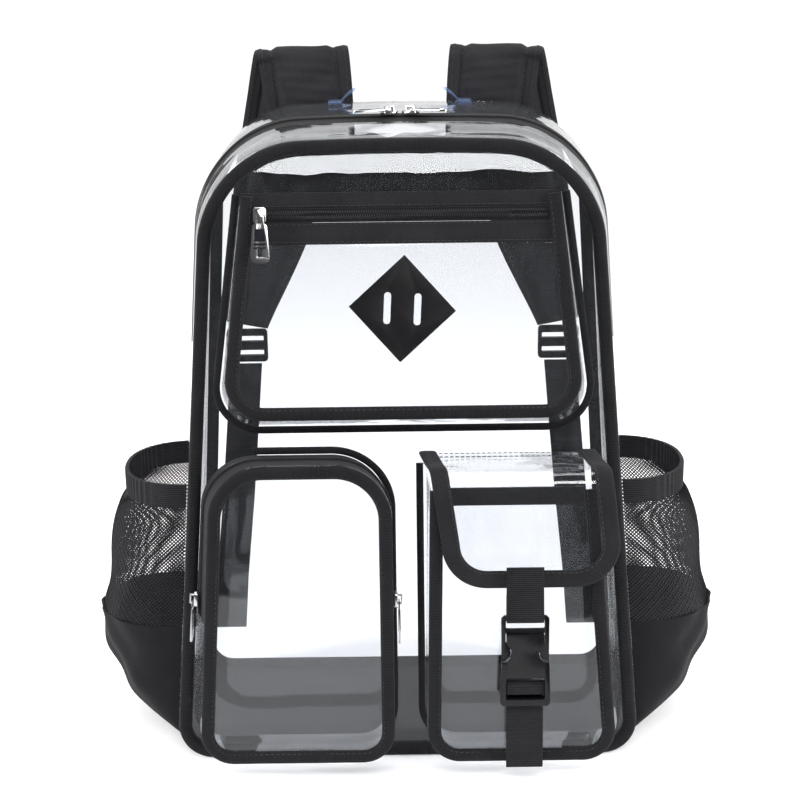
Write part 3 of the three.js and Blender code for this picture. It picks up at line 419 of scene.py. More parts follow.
def mesh_piece(name, shape, paint, replaces=(), body=BAG, smooth_angle=40):
    """A piece of the bag from points in millimetres, faces and cloth lengths, on a body of the frame."""
    points, faces, cloth = shape
    mesh = bpy.data.meshes.new(name)
    points = np.asarray(points, float).reshape(-1, 3) * MM
    corners = np.concatenate([group.ravel() for group in faces]).astype(np.int32)
    sizes = np.concatenate([np.full(len(group), group.shape[1]) for group in faces])
    mesh.vertices.add(len(points))
    mesh.vertices.foreach_set("co", points.astype(np.float32).ravel())
    mesh.loops.add(len(corners))
    mesh.loops.foreach_set("vertex_index", corners)
    mesh.polygons.add(len(sizes))
    mesh.polygons.foreach_set("loop_start", np.concatenate([[0], np.cumsum(sizes)[:-1]]).astype(np.int32))
    mesh.update(calc_edges=True)
    mesh.polygons.foreach_set("use_smooth", np.ones(len(sizes), bool))
    cloth = np.asarray(cloth, float).reshape(-1, 2) * MM
    layer = mesh.uv_layers.new(name="cloth")
    layer.data.foreach_set("uv", cloth[corners].astype(np.float32).ravel())
    mesh.set_sharp_from_angle(angle=math.radians(smooth_angle))
    mesh.materials.append(paint.material)
    piece = bpy.data.objects.new(name, mesh)
    bpy.context.scene.collection.objects.link(piece)
    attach(piece, body)
    if replaces:
        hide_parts(*replaces)
    return piece


def sheet_body(outer, inner, ring=False):
    """Points, faces and cloth lengths of a closed thin body between two grids of one shape."""
    rows, columns = outer.shape[:2]
    count = rows * columns
    front = grid_quads(rows, columns, ring)
    back = grid_quads(rows, columns, ring, start=count)[:, ::-1]
    i = np.arange(rows if ring else rows - 1)
    below = (i + 1) % rows
    rims = []
    for j, flip in ((0, False), (columns - 1, True)):
        edge = np.stack([i * columns + j, count + i * columns + j,
                         count + below * columns + j, below * columns + j], -1)
        rims.append(edge[:, ::-1] if flip else edge)
    if not ring:
        j = np.arange(columns - 1)
        for row, flip in ((0, True), (rows - 1, False)):
            edge = np.stack([row * columns + j, count + row * columns + j,
                             count + row * columns + j + 1, row * columns + j + 1], -1)
            rims.append(edge[:, ::-1] if flip else edge)
    points = np.concatenate([outer.reshape(-1, 3), inner.reshape(-1, 3)])
    lengths = lengths_of(outer).reshape(-1, 2)
    return points, outward(points, [np.concatenate([front, back, *rims])]), np.tile(lengths, (2, 1))


def swept_body(rows, ring=False):
    """The same for a closed section carried along a path; a path with ends gets flat caps."""
    count, sides = rows.shape[:2]
    faces = [grid_quads(count, sides, ring, closed=True)]
    if not ring:
        faces.append(np.arange(sides)[None, ::-1])
        faces.append((count - 1) * sides + np.arange(sides)[None, :])
    points = rows.reshape(-1, 3)
    return points, outward(points, faces), lengths_of(rows).reshape(-1, 2)


def joined(bodies):
    """Several bodies as the points, faces and lengths of one."""
    points, groups, lengths, start = [], {}, [], 0
    for body_points, faces, cloth in bodies:
        for group in faces:
            groups.setdefault(group.shape[1], []).append(group + start)
        points.append(body_points)
        lengths.append(cloth)
        start += len(body_points)
    return np.concatenate(points), [np.concatenate(g) for g in groups.values()], np.concatenate(lengths)


def unit(vectors):
    return vectors / np.maximum(np.linalg.norm(vectors, axis=-1, keepdims=True), 1e-9)


def lerp(low, high, share):
    return low + (high - low) * share


def smoothstep(value, low, high):
    share = np.clip((value - low) / (high - low), 0, 1)
    return share * share * (3 - 2 * share)


# %% [markdown]
# ## The outlines of the bag
# Each panel of the bag is a trapezium with four rounded corners. An outline is run anticlockwise
# in steps: an arc at each corner, then a straight stretch. Walls and tapes are named by these
# steps, and here every step of the frame's outline is cut into several finer ones.

# %% Rounded outlines, rims and walls
FINE = 6
ACROSS, UP, LOW_ARC, HIGH_ARC = (FINE * n for n in (4, 4, 3, 5))
LOW_RIGHT = LOW_ARC + ACROSS
RIGHT_FOOT = LOW_RIGHT + LOW_ARC
HIGH_RIGHT = RIGHT_FOOT + UP
TOP_RIGHT = HIGH_RIGHT + HIGH_ARC
HIGH_LEFT = TOP_RIGHT + ACROSS
LEFT_TOP = HIGH_LEFT + HIGH_ARC
END = LEFT_TOP + UP
GAP = 0.3
VINYL = 1.0


def outline(low_left, low_right, high_right, high_left, low, high, low_radius, high_radius):
    """Spots (x, z) and outward directions: arcs about each corner's centre, and lines between."""
    spots = np.array([(low_left, low), (low_right, low), (high_right, high), (high_left, high)], float)
    radii = (low_radius, low_radius, high_radius, high_radius)
    arcs = []
    for k, (radius, steps) in enumerate(zip(radii, (LOW_ARC, LOW_ARC, HIGH_ARC, HIGH_ARC))):
        into = unit(spots[k] - spots[k - 1])
        away = unit(spots[(k + 1) % 4] - spots[k])
        turn = math.acos(float(into @ away))
        side = np.array([into[1], -into[0]])
        centre = spots[k] - into * radius * math.tan(turn / 2) - side * radius
        angles = np.linspace(0, turn, steps + 1)[:, None]
        out = side * np.cos(angles) + np.array([-side[1], side[0]]) * np.sin(angles)
        arcs.append((centre + out * radius, out))
    pieces = []
    for k, run in enumerate((ACROSS, UP, ACROSS, UP)):
        here, ahead_arc = arcs[k], arcs[(k + 1) % 4]
        share = np.linspace(0, 1, run + 1)[1:-1, None]
        stretch = lerp(here[0][-1], ahead_arc[0][0], share)
        pieces.append((here[0], here[1]))
        pieces.append((stretch, np.repeat(here[1][-1:], run - 1, 0)))
    return np.concatenate([p[0] for p in pieces]), np.concatenate([p[1] for p in pieces])


class Rim:
    """An outline's points in space, with the directions that point out of it."""

    def __init__(self, shape, place):
        flat, out = outline(*shape)
        self.flat = flat
        self.place = place
        self.at = place(flat[:, 0], flat[:, 1])
        self.out = np.stack([out[:, 0], np.zeros(len(out)), out[:, 1]], -1)

    def panel(self, columns=48):
        """A grid that fills the rim: each row runs from a point on the left to its partner."""
        climb = np.arange(LOW_ARC + UP + HIGH_ARC + 1)
        left = self.flat[(LOW_ARC - climb) % len(self.flat)]
        right = self.flat[(LOW_RIGHT + climb) % len(self.flat)]
        share = np.linspace(0, 1, columns + 1)[None, :, None]
        both = lerp(left[:, None], right[:, None], share)
        return self.place(both[..., 0], both[..., 1])


class Wall:
    """A wall stretched from a front rim, share 0, to a rear rim, share 1, puffed out between."""

    def __init__(self, front, rear, puff=None):
        self.front, self.rear, self.puff = front, rear, puff

    def knot(self, index, share, out):
        front_at, rear_at = (r.at[index % len(r.at)] for r in (self.front, self.rear))
        front_out, rear_out = (r.out[index % len(r.at)] for r in (self.front, self.rear))
        spot = lerp(front_at, rear_at, share[..., None])
        away = unit(lerp(front_out, rear_out, share[..., None]))
        if self.puff is not None:
            out = out + self.puff(spot[..., 2]) * np.sin(np.pi * share)
        return spot + away * np.asarray(out)[..., None]

    def at(self, index, share, out=0.0):
        """The point at a place between two steps of the outline, at a share of the depth."""
        index, share, out = np.broadcast_arrays(np.asarray(index, float), share, out)
        low = np.floor(index).astype(int)
        part = (index - low)[..., None]
        return lerp(self.knot(low, share, out), self.knot(low + 1, share, out), part)

    def facing(self, index, share):
        return unit(self.at(index, share, 1.0) - self.at(index, share, 0.0))

    def span(self, start, end, per_step=1):
        """Steps from one place to another, each end held back by half the clearance."""
        steps = np.linspace(start, end, int(round((end - start) * per_step)) + 1)
        ends = np.array([start, end], float)
        spots = self.at(ends, np.zeros(2))
        inward = self.at(ends + np.array([1.0, -1.0]), np.zeros(2))
        hold = GAP / 2 / np.linalg.norm(inward - spots, axis=-1)
        steps[0] += hold[0]
        steps[-1] -= hold[1]
        return steps

    def strip(self, indices, shares, thick, tops=None, ring=False):
        """A closed strip of the wall; tops is the height of its outer face over each share."""
        i, s = np.meshgrid(indices, shares, indexing="ij")
        tops = np.zeros(len(shares)) if tops is None else np.asarray(tops)
        rise = tops if tops.ndim == 2 else np.broadcast_to(tops, i.shape)
        return sheet_body(self.at(i, s, rise), self.at(i, s, -thick), ring)


print("an outline has", END, "points")

# %% [markdown]
# ## Rolled tapes along the seams
# The seams are bound with a tape folded over the edge, so its section is a low dome with soft
# shoulders, not a box. The section is a superellipse, and the tape swells and thins by a fraction
# of a millimetre along its length, as sewing pulls it.

# %% A tape along a rim, and rows of stitches


def dome(out_low, out_high, y_near, y_far, sides=14, power=2.6):
    """A half superellipse over a flat back, as pairs of out and y."""
    angle = np.linspace(0, np.pi, sides)
    reach = np.sign(np.cos(angle)) * np.abs(np.cos(angle)) ** (2 / power)
    height = np.abs(np.sin(angle)) ** (2 / power)
    middle, half = (out_low + out_high) / 2, (out_high - out_low) / 2
    return np.stack([middle - half * reach, lerp(y_near, y_far, height)], -1)


def tape_along(rim, indices, section, ring=False, swell=0.25, seed=1):
    """The section at each step of the rim; its height changes by a slow sum of two sines."""
    wall = Wall(rim, rim)
    i, k = np.meshgrid(indices, np.arange(len(section)), indexing="ij")
    points = wall.at(i, np.zeros(i.shape), section[k, 0])
    base = section[0, 1]
    slow = np.sin(i * 0.37 + seed) + np.sin(i * 0.91 + 2.3 * seed)
    points[..., 1] += base + (section[k, 1] - base) * (1 - swell * 0.25 * (1 + 0.5 * slow))
    return swept_body(points, ring)


def stitch_bodies(path, normal, length=2.6, gap=1.1, radius=0.28, lift=0.0):
    """Stitches along a path: each is a short tube that dips into the cloth at both its ends."""
    step = np.linalg.norm(np.diff(path, axis=0), axis=1)
    run = np.concatenate([[0], np.cumsum(step)])
    count = max(1, int(run[-1] / (length + gap)))
    starts = (np.arange(count) + 0.5) * run[-1] / count
    offsets = np.array([-0.5, -0.36, 0.0, 0.36, 0.5]) * length
    places = (starts[:, None] + offsets).clip(0, run[-1])
    spots = np.stack([np.interp(places, run, path[:, c]) for c in range(3)], -1)
    ups = unit(np.stack([np.interp(places, run, normal[:, c]) for c in range(3)], -1))
    along = unit(spots[:, -1:] - spots[:, :1]) + 0 * spots
    sideways = unit(np.cross(along, ups))
    high = np.array([-0.6, 0.35, 0.75, 0.35, -0.6]) * radius + lift
    thin = np.array([0.75, 1.0, 1.0, 1.0, 0.75]) * radius
    angle = np.linspace(0, 2 * np.pi, 6)[:-1]
    ring = (np.cos(angle)[:, None] * sideways[:, :, None] + np.sin(angle)[:, None] * ups[:, :, None])
    lifted = spots[:, :, None] + ups[:, :, None] * high[None, :, None, None]
    rows = lifted + ring * thin[None, :, None, None]
    sides = len(angle)
    one = grid_quads(5, sides, closed=True)
    caps = np.stack([np.arange(sides)[::-1], 4 * sides + np.arange(sides)])
    starts = np.arange(count) * 5 * sides
    quads = (one[None] + starts[:, None, None]).reshape(-1, 4)
    ends = (caps[None] + starts[:, None, None]).reshape(-1, sides)
    points = rows.reshape(-1, 3)
    faces = outward(points, [quads, ends])
    return points, faces, points[:, [0, 2]]


# %% [markdown]
# ## The box of clear sheets
# Front, back, sides and top strips are single sheets of film a millimetre thick. Film never lies
# quite flat between its seams, so the back, side and top sheets bow by a fraction of a millimetre
# in slow waves that die out towards their edges, where the tapes hold them; the front sheet is flat.

# %% The bag's rims and wall
DEPTH = 160.0
HALF_DEPTH = DEPTH / 2
BOTTOM_HALF, FRONT_TOP_HALF, BACK_TOP_HALF = 164.0, 131.0, 139.0
FRONT_HEIGHT, BACK_HEIGHT = 431.0, 444.0
BOTTOM_RADIUS, TOP_RADIUS = 24.0, 69.0
ARCH_RISE, SIDE_PUFF, BASE_SHEET = 5.0, 4.0, 2.0


def bag_rim(top_half, height, y):
    """The bag's outline at a depth; its top edge arches up by a parabola between the corners."""
    def place(x, z):
        near = smoothstep(z, height - TOP_RADIUS, height)
        arch = ARCH_RISE * near * np.maximum(0, 1 - (x / top_half) ** 2)
        return np.stack([x, np.full_like(x, y), z + arch], -1)
    corners = (-BOTTOM_HALF, BOTTOM_HALF, top_half, -top_half, 0, height)
    return Rim((*corners, BOTTOM_RADIUS, TOP_RADIUS), place)


def bag_puff(z):
    return SIDE_PUFF * smoothstep(z, 0, 3 * BOTTOM_RADIUS)


ROOM = VINYL + GAP
front_rim = bag_rim(FRONT_TOP_HALF, FRONT_HEIGHT, -HALF_DEPTH)
back_rim = bag_rim(BACK_TOP_HALF, BACK_HEIGHT, HALF_DEPTH)
bag_wall = Wall(
    bag_rim(FRONT_TOP_HALF, FRONT_HEIGHT, -HALF_DEPTH + ROOM),
    bag_rim(BACK_TOP_HALF, BACK_HEIGHT, HALF_DEPTH - ROOM),
    bag_puff,
)


def share_of(from_front):
    return (from_front - ROOM) / (DEPTH - 2 * ROOM)


def held_waves(rows, columns, size, seed):
    """Slow waves over a grid that fade to nothing at its edges: a few sines times an edge mask."""
    chance = np.random.default_rng(seed)
    v, u = np.meshgrid(np.linspace(0, 1, rows), np.linspace(0, 1, columns), indexing="ij")
    total = np.zeros((rows, columns))
    for _ in range(7):
        a, b = chance.uniform(-9, 9, 2)
        total += np.sin(a * u + b * v + chance.uniform(0, 7)) / 4
    mask = np.clip(9 * u * (1 - u), 0, 1) * np.clip(9 * v * (1 - v), 0, 1)
    return size * total * mask


def panel_body(rim, thick, wave=0.0, seed=1, columns=48):
    """A sheet inside a rim, thick millimetres behind it or in front of it, with held waves."""
    face = rim.panel(columns)
    face[..., 1] += held_waves(*face.shape[:2], wave, seed)
    other = face + np.array([0, thick, 0])
    return sheet_body(face, other)


mesh_piece("front_sheet", panel_body(front_rim, VINYL, 0.0, 3), front_vinyl, replaces=["front_panel"])
mesh_piece("back_sheet", panel_body(back_rim, -VINYL, 1.4, 4), clear_vinyl, replaces=["back_panel"])

# %% Sides, top strips and base
ZIP_START = 3 * FINE
ZIP_RIGHT, ZIP_LEFT = RIGHT_FOOT + ZIP_START, END - ZIP_START
ZIP_TAPE, ZIP_THICK, COIL_WIDTH, COIL_RISE = 30.0, 1.4, 6.0, 1.2
ZIP_LINE = 60.0
ZIP_FRONT, ZIP_REAR = share_of(ZIP_LINE - ZIP_TAPE / 2), share_of(ZIP_LINE + ZIP_TAPE / 2)
EDGE = GAP / DEPTH
top_span = bag_wall.span(ZIP_RIGHT, ZIP_LEFT)


def wavy_strip(wall, indices, shares, thick, wave, seed):
    """A strip of a wall whose outer face moves in held waves, the inner face with it."""
    i, s = np.meshgrid(indices, shares, indexing="ij")
    rise = held_waves(len(indices), len(shares), wave, seed)
    return sheet_body(wall.at(i, s, rise), wall.at(i, s, rise - thick))


for name, start, end, node in (
    ("side_sheet_right", RIGHT_FOOT, ZIP_RIGHT, "side_panel_right"),
    ("side_sheet_left", ZIP_LEFT, END, "side_panel_left"),
):
    body = wavy_strip(bag_wall, bag_wall.span(start, end, 2), np.linspace(0, 1, 29), VINYL, 1.2, len(name))
    mesh_piece(name, body, clear_vinyl, replaces=[node])
for name, low, high, node in (
    ("top_sheet_front", 0, ZIP_FRONT - EDGE, "top_strip_front"),
    ("top_sheet_rear", ZIP_REAR + EDGE, 1, "top_strip_rear"),
):
    body = wavy_strip(bag_wall, top_span, np.linspace(low, high, 17), VINYL, 0.8, len(name))
    mesh_piece(name, body, clear_vinyl, replaces=[node])

base_span = bag_wall.span(END, END + RIGHT_FOOT, 1)
base = bag_wall.strip(base_span, np.linspace(0, 1, 25), BASE_SHEET)
mesh_piece("base_sheet", base, base_cloth, replaces=["base_panel"])

all_round = np.arange(END)
BINDING, BINDING_THICK = 9.0, 4.0
front_section = dome(-GAP - BINDING, -GAP, -GAP, -GAP - BINDING_THICK)
back_section = dome(-GAP - BINDING, -GAP, GAP, GAP + BINDING_THICK)
front_tape = tape_along(front_rim, all_round, front_section, True)
back_tape = tape_along(back_rim, all_round, back_section, True, seed=4)
mesh_piece("front_edge_tape", front_tape, tape, replaces=["front_binding"])
mesh_piece("back_edge_tape", back_tape, tape, replaces=["back_binding"])
print("the box is done")

# %% [markdown]
# ## The main zip
# A coil zip is two nylon springs sewn on two tapes and laced into each other. Each spring is made
# as a real helix, a tube of five sides carried along a spiral that follows the wall, because its
# turns catch the light as the fine dotted lines that every zip shows.

# %% Zips


def zip_tops(low, high, width, columns=15):
    """Shares across a tape and the height of its face: flat, with a shallow ridge in the middle."""
    share = np.linspace(0, 1, columns)
    near = np.abs(share - 0.5) * width
    rise = (COIL_RISE * 0.35) * (1 - smoothstep(near, COIL_WIDTH * 0.3, COIL_WIDTH * 0.62))
    return lerp(low, high, share), rise


def tube_body(path, radius, sides=5):
    """A round tube along a path; the frame round it comes from the path's own bends."""
    tangent = unit(np.gradient(path, axis=0))
    guide = np.where(np.abs(tangent[:, 2:]) < 0.9, [[0, 0, 1.0]], [[0, 1.0, 0]])
    side = unit(np.cross(tangent, guide))
    other = np.cross(tangent, side)
    angle = np.linspace(0, 2 * np.pi, sides + 1)[:-1]
    ring = np.cos(angle)[None, :, None] * side[:, None] + np.sin(angle)[None, :, None] * other[:, None]
    return swept_body(path[:, None] + ring * radius)


def coil_body(line, across, out, pitch=1.55, half=1.25, offset=1.35, lift=0.9, height=0.55, per_turn=7):
    """Two helices beside each other along a line: offset to each side, half a pitch apart."""
    step = np.linalg.norm(np.diff(line, axis=0), axis=1)
    run = np.concatenate([[0], np.cumsum(step)])
    count = int(run[-1] / pitch * per_turn)
    places = np.linspace(0, run[-1], count)
    centre, side, up = (
        np.stack([np.interp(places, run, values[:, c]) for c in range(3)], -1)
        for values in (line, across, out)
    )
    side, up = unit(side), unit(up)
    bodies = []
    for sign in (-1, 1):
        angle = 2 * np.pi * places / pitch + (np.pi if sign > 0 else 0)
        spiral = centre + side * (sign * offset + half * np.cos(angle))[:, None]
        bodies.append(tube_body(spiral + up * (lift + height * np.sin(angle))[:, None], 0.36, 4))
    return joined(bodies)


def wall_coil(wall, start, end, share, per_step=2):
    """The coil along a wall at one share of its depth."""
    steps = np.linspace(start, end, int((end - start) * per_step))
    line = wall.at(steps, np.full(len(steps), share))
    across = unit(wall.at(steps, share + 0.02) - line)
    return coil_body(line, across, wall.facing(steps, share))


zip_shares, zip_rise = zip_tops(ZIP_FRONT, ZIP_REAR, ZIP_TAPE)
main_tape = bag_wall.strip(top_span, zip_shares, ZIP_THICK, zip_rise)
mesh_piece("main_zip_tape", main_tape, zip_tape, replaces=["main_zip"])
zip_middle = (ZIP_FRONT + ZIP_REAR) / 2
mesh_piece("main_zip_coil", wall_coil(bag_wall, ZIP_RIGHT + 0.3, ZIP_LEFT - 0.3, zip_middle), coil)

# %% [markdown]
# ## The upper pocket
# The upper pocket hangs from the top of the front sheet and stands further forward towards its
# foot, so its face is one leaning plane. Its clear part is framed by piping, and its head by two
# twill bands with a zip between them.

# %% Upper pocket
PANEL_FACE = -HALF_DEPTH - GAP
SQUARE = 1.5
UPPER = {
    "top_half": 105.0, "bottom_half": 121.0, "rear_top_half": 105.5, "rear_bottom_half": 127.0,
    "low": 253.0, "rear_low": 243.0, "top": 401.0, "radius": 26.0, "top_depth": 2.0, "depth": 26.0,
    "top_band": 10.0, "zip_band": 9.0, "low_band": 14.0,
}
PIPING, PIPING_THICK = 9.0, 3.2
SEAM, SEAM_THICK = 5.0, 2.4
OPEN_START, OPEN_END = LEFT_TOP, END + HIGH_RIGHT
piping_section = dome(-PIPING, 0, -2 * GAP - VINYL, -2 * GAP - VINYL - PIPING_THICK)
seam_section = dome(2 * GAP, 2 * GAP + SEAM, 0, -SEAM_THICK)


def upper_depth(z):
    share = (UPPER["top"] - z) / (UPPER["top"] - UPPER["low"])
    return lerp(UPPER["top_depth"], UPPER["depth"], share)


def upper_half(z):
    share = (z - UPPER["low"]) / (UPPER["top"] - UPPER["low"])
    return lerp(UPPER["bottom_half"], UPPER["top_half"], share)


def on_upper_face(x, z):
    return np.stack([x, PANEL_FACE - upper_depth(z), z], -1)


def on_panel(x, z):
    return np.stack([x, np.full_like(x, PANEL_FACE), z], -1)


def upper_shape(bottom_half, top_half, low, high):
    return (-bottom_half, bottom_half, top_half, -top_half, low, high, UPPER["radius"], SQUARE)


upper_front = Rim(
    upper_shape(UPPER["bottom_half"], UPPER["top_half"], UPPER["low"], UPPER["top"]),
    on_upper_face,
)
upper_rear = Rim(
    upper_shape(UPPER["rear_bottom_half"], UPPER["rear_top_half"], UPPER["rear_low"], UPPER["top"]),
    on_panel,
)
upper_wall = Wall(upper_front, upper_rear)
upper_u = upper_wall.span(OPEN_START, OPEN_END)
zip_high = UPPER["top"] - UPPER["top_band"] - GAP
zip_low = zip_high - UPPER["zip_band"]
low_band_high = zip_low - GAP
low_band_low = low_band_high - UPPER["low_band"]
clear_high = low_band_low - GAP
upper_clear = Rim(
    upper_shape(UPPER["bottom_half"], upper_half(clear_high), UPPER["low"], clear_high), on_upper_face,
)


def pocket_sheet(rim, wave, seed):
    """The sheet of a pocket's face, a clearance in front of the rim, waved away from its neighbours."""
    face = rim.panel()
    face[..., 1] -= GAP
    bow = held_waves(*face.shape[:2], wave, seed)
    outer = face + np.stack([0 * bow, -VINYL + bow * 0.5 - np.abs(bow) * 0.2, 0 * bow], -1)
    return sheet_body(outer, outer + np.array([0, VINYL, 0]))


def upper_band(low, high, room, rise, columns=60):
    """A band across the pocket's head; rise is its face's height over each of its rows."""
    level = np.linspace(low, high, len(rise))
    z, share = np.meshgrid(level, np.linspace(-1, 1, columns), indexing="ij")
    back = on_upper_face(share * (upper_half(z) - room), z)
    back[..., 1] -= GAP
    ripple = 0.12 * np.sin(share * 37 + z) * np.sin(np.pi * (z - low) / (high - low))
    front = back.copy()
    front[..., 1] -= np.asarray(rise)[:, None] + VINYL + ripple
    points, faces, lengths = sheet_body(front, back)
    return points, faces, lengths[:, ::-1]


mesh_piece("upper_pocket_sheet", pocket_sheet(upper_clear, 1.0, 7), clear_vinyl,
           replaces=["upper_pocket_front"])
upper_gusset = upper_wall.strip(upper_u, np.linspace(0, 1, 13), VINYL)
mesh_piece("upper_pocket_side", upper_gusset, clear_vinyl, replaces=["upper_pocket_gusset"])
mesh_piece("upper_pocket_edge", tape_along(upper_front, upper_u, piping_section, seed=2), tape,
           replaces=["upper_pocket_piping"])
mesh_piece("upper_pocket_rear_edge", tape_along(upper_rear, upper_u, seam_section, seed=3), tape,
           replaces=["upper_pocket_seam"])
flat_rise = 0.45 * np.abs(np.sin(np.linspace(0, np.pi, 12))) ** 0.3
mesh_piece("upper_top_band", upper_band(zip_high + GAP, UPPER["top"], 0, flat_rise), band,
           replaces=["upper_band_top"])
mesh_piece("upper_low_band", upper_band(low_band_low, low_band_high, 0, flat_rise), band,
           replaces=["upper_band_bottom"])
zip_room = PIPING + GAP
_, upper_zip_rise = zip_tops(0, 1, UPPER["zip_band"])
mesh_piece("upper_zip_tape", upper_band(zip_low, zip_high, zip_room, upper_zip_rise), zip_tape,
           replaces=["upper_zip"])

face_lean = math.atan((UPPER["depth"] - UPPER["top_depth"]) / (UPPER["top"] - UPPER["low"]))
FACE_OUT = np.array([0, -math.cos(face_lean), math.sin(face_lean)])
FACE_UP = np.array([0, math.sin(face_lean), math.cos(face_lean)])
zip_z = (zip_low + zip_high) / 2
coil_x = np.linspace(-1, 1, 120) * (upper_half(zip_z) - zip_room - 0.6)
coil_line = on_upper_face(coil_x, np.full(120, zip_z)) + FACE_OUT * (GAP + VINYL)
coil_up = np.tile(FACE_UP, (120, 1))
mesh_piece("upper_zip_coil", coil_body(coil_line, coil_up, np.tile(FACE_OUT, (120, 1))), coil)
print("the upper pocket is done")

# %% [markdown]
# ## The lower pockets
# The left pocket is a box with a zip over its top and round its upper corners. The right one is
# open under a flap, and has a stiff hem across its mouth. Their side walls run back to the front
# sheet, and a seam tape stands beside each where it is sewn on.

# %% Lower pockets
LOWER_DEPTH = 45.0
EDGE_ROOM = BINDING + 2 * GAP
SEAM_ROOM = SEAM + 3 * GAP
REAR_LOW = EDGE_ROOM + SEAM_ROOM


def bag_side(z):
    return lerp(BOTTOM_HALF, FRONT_TOP_HALF, z / FRONT_HEIGHT)


def on_lower_face(x, z):
    return np.stack([x, np.full_like(x, PANEL_FACE - LOWER_DEPTH), z], -1)


LEFT_TOP_FRONT, LEFT_TOP_REAR, RIGHT_TOP_FRONT, RIGHT_TOP_REAR = 227.0, 222.0, 211.0, 217.0
RIGHT_HIGH_INNER, RIGHT_HIGH_OUTER = 16.5, 127.0
FOOT, FOOT_RADIUS, LEFT_RADIUS = 16.5, 22.0, 38.0
left_rear_low, left_rear_high = (EDGE_ROOM - bag_side(z) for z in (REAR_LOW, LEFT_TOP_REAR))
right_rear_low, right_rear_high = (bag_side(z) - EDGE_ROOM for z in (REAR_LOW, RIGHT_TOP_REAR))
left_front = Rim(
    (-142, -8.5, -8.5, -128.5, FOOT, LEFT_TOP_FRONT, FOOT_RADIUS, LEFT_RADIUS),
    on_lower_face,
)
left_rear = Rim(
    (left_rear_low, -12, -12, left_rear_high, REAR_LOW, LEFT_TOP_REAR, FOOT_RADIUS, LEFT_RADIUS),
    on_panel,
)
right_front = Rim(
    (13.5, 143, RIGHT_HIGH_OUTER, RIGHT_HIGH_INNER, FOOT, RIGHT_TOP_FRONT, FOOT_RADIUS, SQUARE),
    on_lower_face,
)
right_rear = Rim(
    (13.5, right_rear_low, right_rear_high, 13.5, REAR_LOW, RIGHT_TOP_REAR, FOOT_RADIUS, SQUARE),
    on_panel,
)
left_wall, right_wall = Wall(left_front, left_rear), Wall(right_front, right_rear)

LEFT_ZIP_START, LEFT_ZIP_END = RIGHT_FOOT + 2 * FINE, END - 2 * FINE
left_zip_span = left_wall.span(LEFT_ZIP_START, LEFT_ZIP_END)
left_clear_span = left_wall.span(LEFT_ZIP_END, END + LEFT_ZIP_START)
mesh_piece("left_pocket_sheet", pocket_sheet(left_front, 1.6, 11), clear_vinyl,
           replaces=["left_pocket_front"])
left_gusset = wavy_strip(left_wall, left_clear_span, np.linspace(0, 1, 15), VINYL, 0.7, 12)
mesh_piece("left_pocket_side", left_gusset, clear_vinyl, replaces=["left_pocket_gusset"])
left_shares, left_rise = zip_tops(0, 1, LOWER_DEPTH, 21)
mesh_piece("left_zip_tape", left_wall.strip(left_zip_span, left_shares, ZIP_THICK, left_rise), zip_tape,
           replaces=["left_pocket_zip"])
mesh_piece("left_zip_coil", wall_coil(left_wall, LEFT_ZIP_START + 0.3, LEFT_ZIP_END - 0.3, 0.5), coil)
mesh_piece("left_pocket_edge", tape_along(left_front, all_round, piping_section, True, seed=5), tape,
           replaces=["left_pocket_piping"])
left_seam_span = left_wall.span(LOW_ARC, HIGH_LEFT)
mesh_piece("left_pocket_rear_edge", tape_along(left_rear, left_seam_span, seam_section, seed=6), tape,
           replaces=["left_pocket_seam"])

right_u = right_wall.span(OPEN_START, OPEN_END)
mesh_piece("right_pocket_sheet", pocket_sheet(right_front, 1.6, 21), clear_vinyl,
           replaces=["right_pocket_front"])
right_gusset = wavy_strip(right_wall, right_u, np.linspace(0, 1, 15), VINYL, 0.7, 22)
mesh_piece("right_pocket_side", right_gusset, clear_vinyl, replaces=["right_pocket_gusset"])
mesh_piece("right_pocket_edge", tape_along(right_front, right_u, piping_section, seed=7), tape,
           replaces=["right_pocket_piping"])
right_seam_span = right_wall.span(LEFT_TOP, END + LOW_RIGHT)
mesh_piece("right_pocket_rear_edge", tape_along(right_rear, right_seam_span, seam_section, seed=8), tape,
           replaces=["right_pocket_seam"])

HEM, HEM_THICK = 12.0, 2.4
hem_face = PANEL_FACE - LOWER_DEPTH - 2 * GAP - VINYL
hem_up, hem_share = np.meshgrid(np.linspace(0, 1, 11), np.linspace(0, 1, 50), indexing="ij")
hem_z = RIGHT_TOP_FRONT - HEM * (1 - hem_up)
hem_x = lerp(RIGHT_HIGH_INNER + PIPING + GAP, RIGHT_HIGH_OUTER - PIPING - GAP, hem_share)
hem_swell = HEM_THICK * (0.55 + 0.45 * np.abs(np.sin(np.pi * hem_up)) ** 0.4)
hem_front = np.stack([hem_x, hem_face - hem_swell, hem_z], -1)
hem_back = np.stack([hem_x, np.full_like(hem_x, hem_face), hem_z], -1)
hem_points, hem_faces, hem_lengths = sheet_body(hem_front, hem_back)
mesh_piece("right_pocket_mouth_hem", (hem_points, hem_faces, hem_lengths[:, ::-1]), band,
           replaces=["right_pocket_hem"])
print("the lower pockets are done")

# %% [markdown]
# ## The flap
# The flap is sewn to the front sheet above the pocket's mouth, bends forward over the mouth and
# hangs down the pocket's face. Its side profile is a smooth curve through six places, and a point
# of the flap is named by how far across it is, how far along the profile, and its rise above it.

# %% Curves through places, and the flap


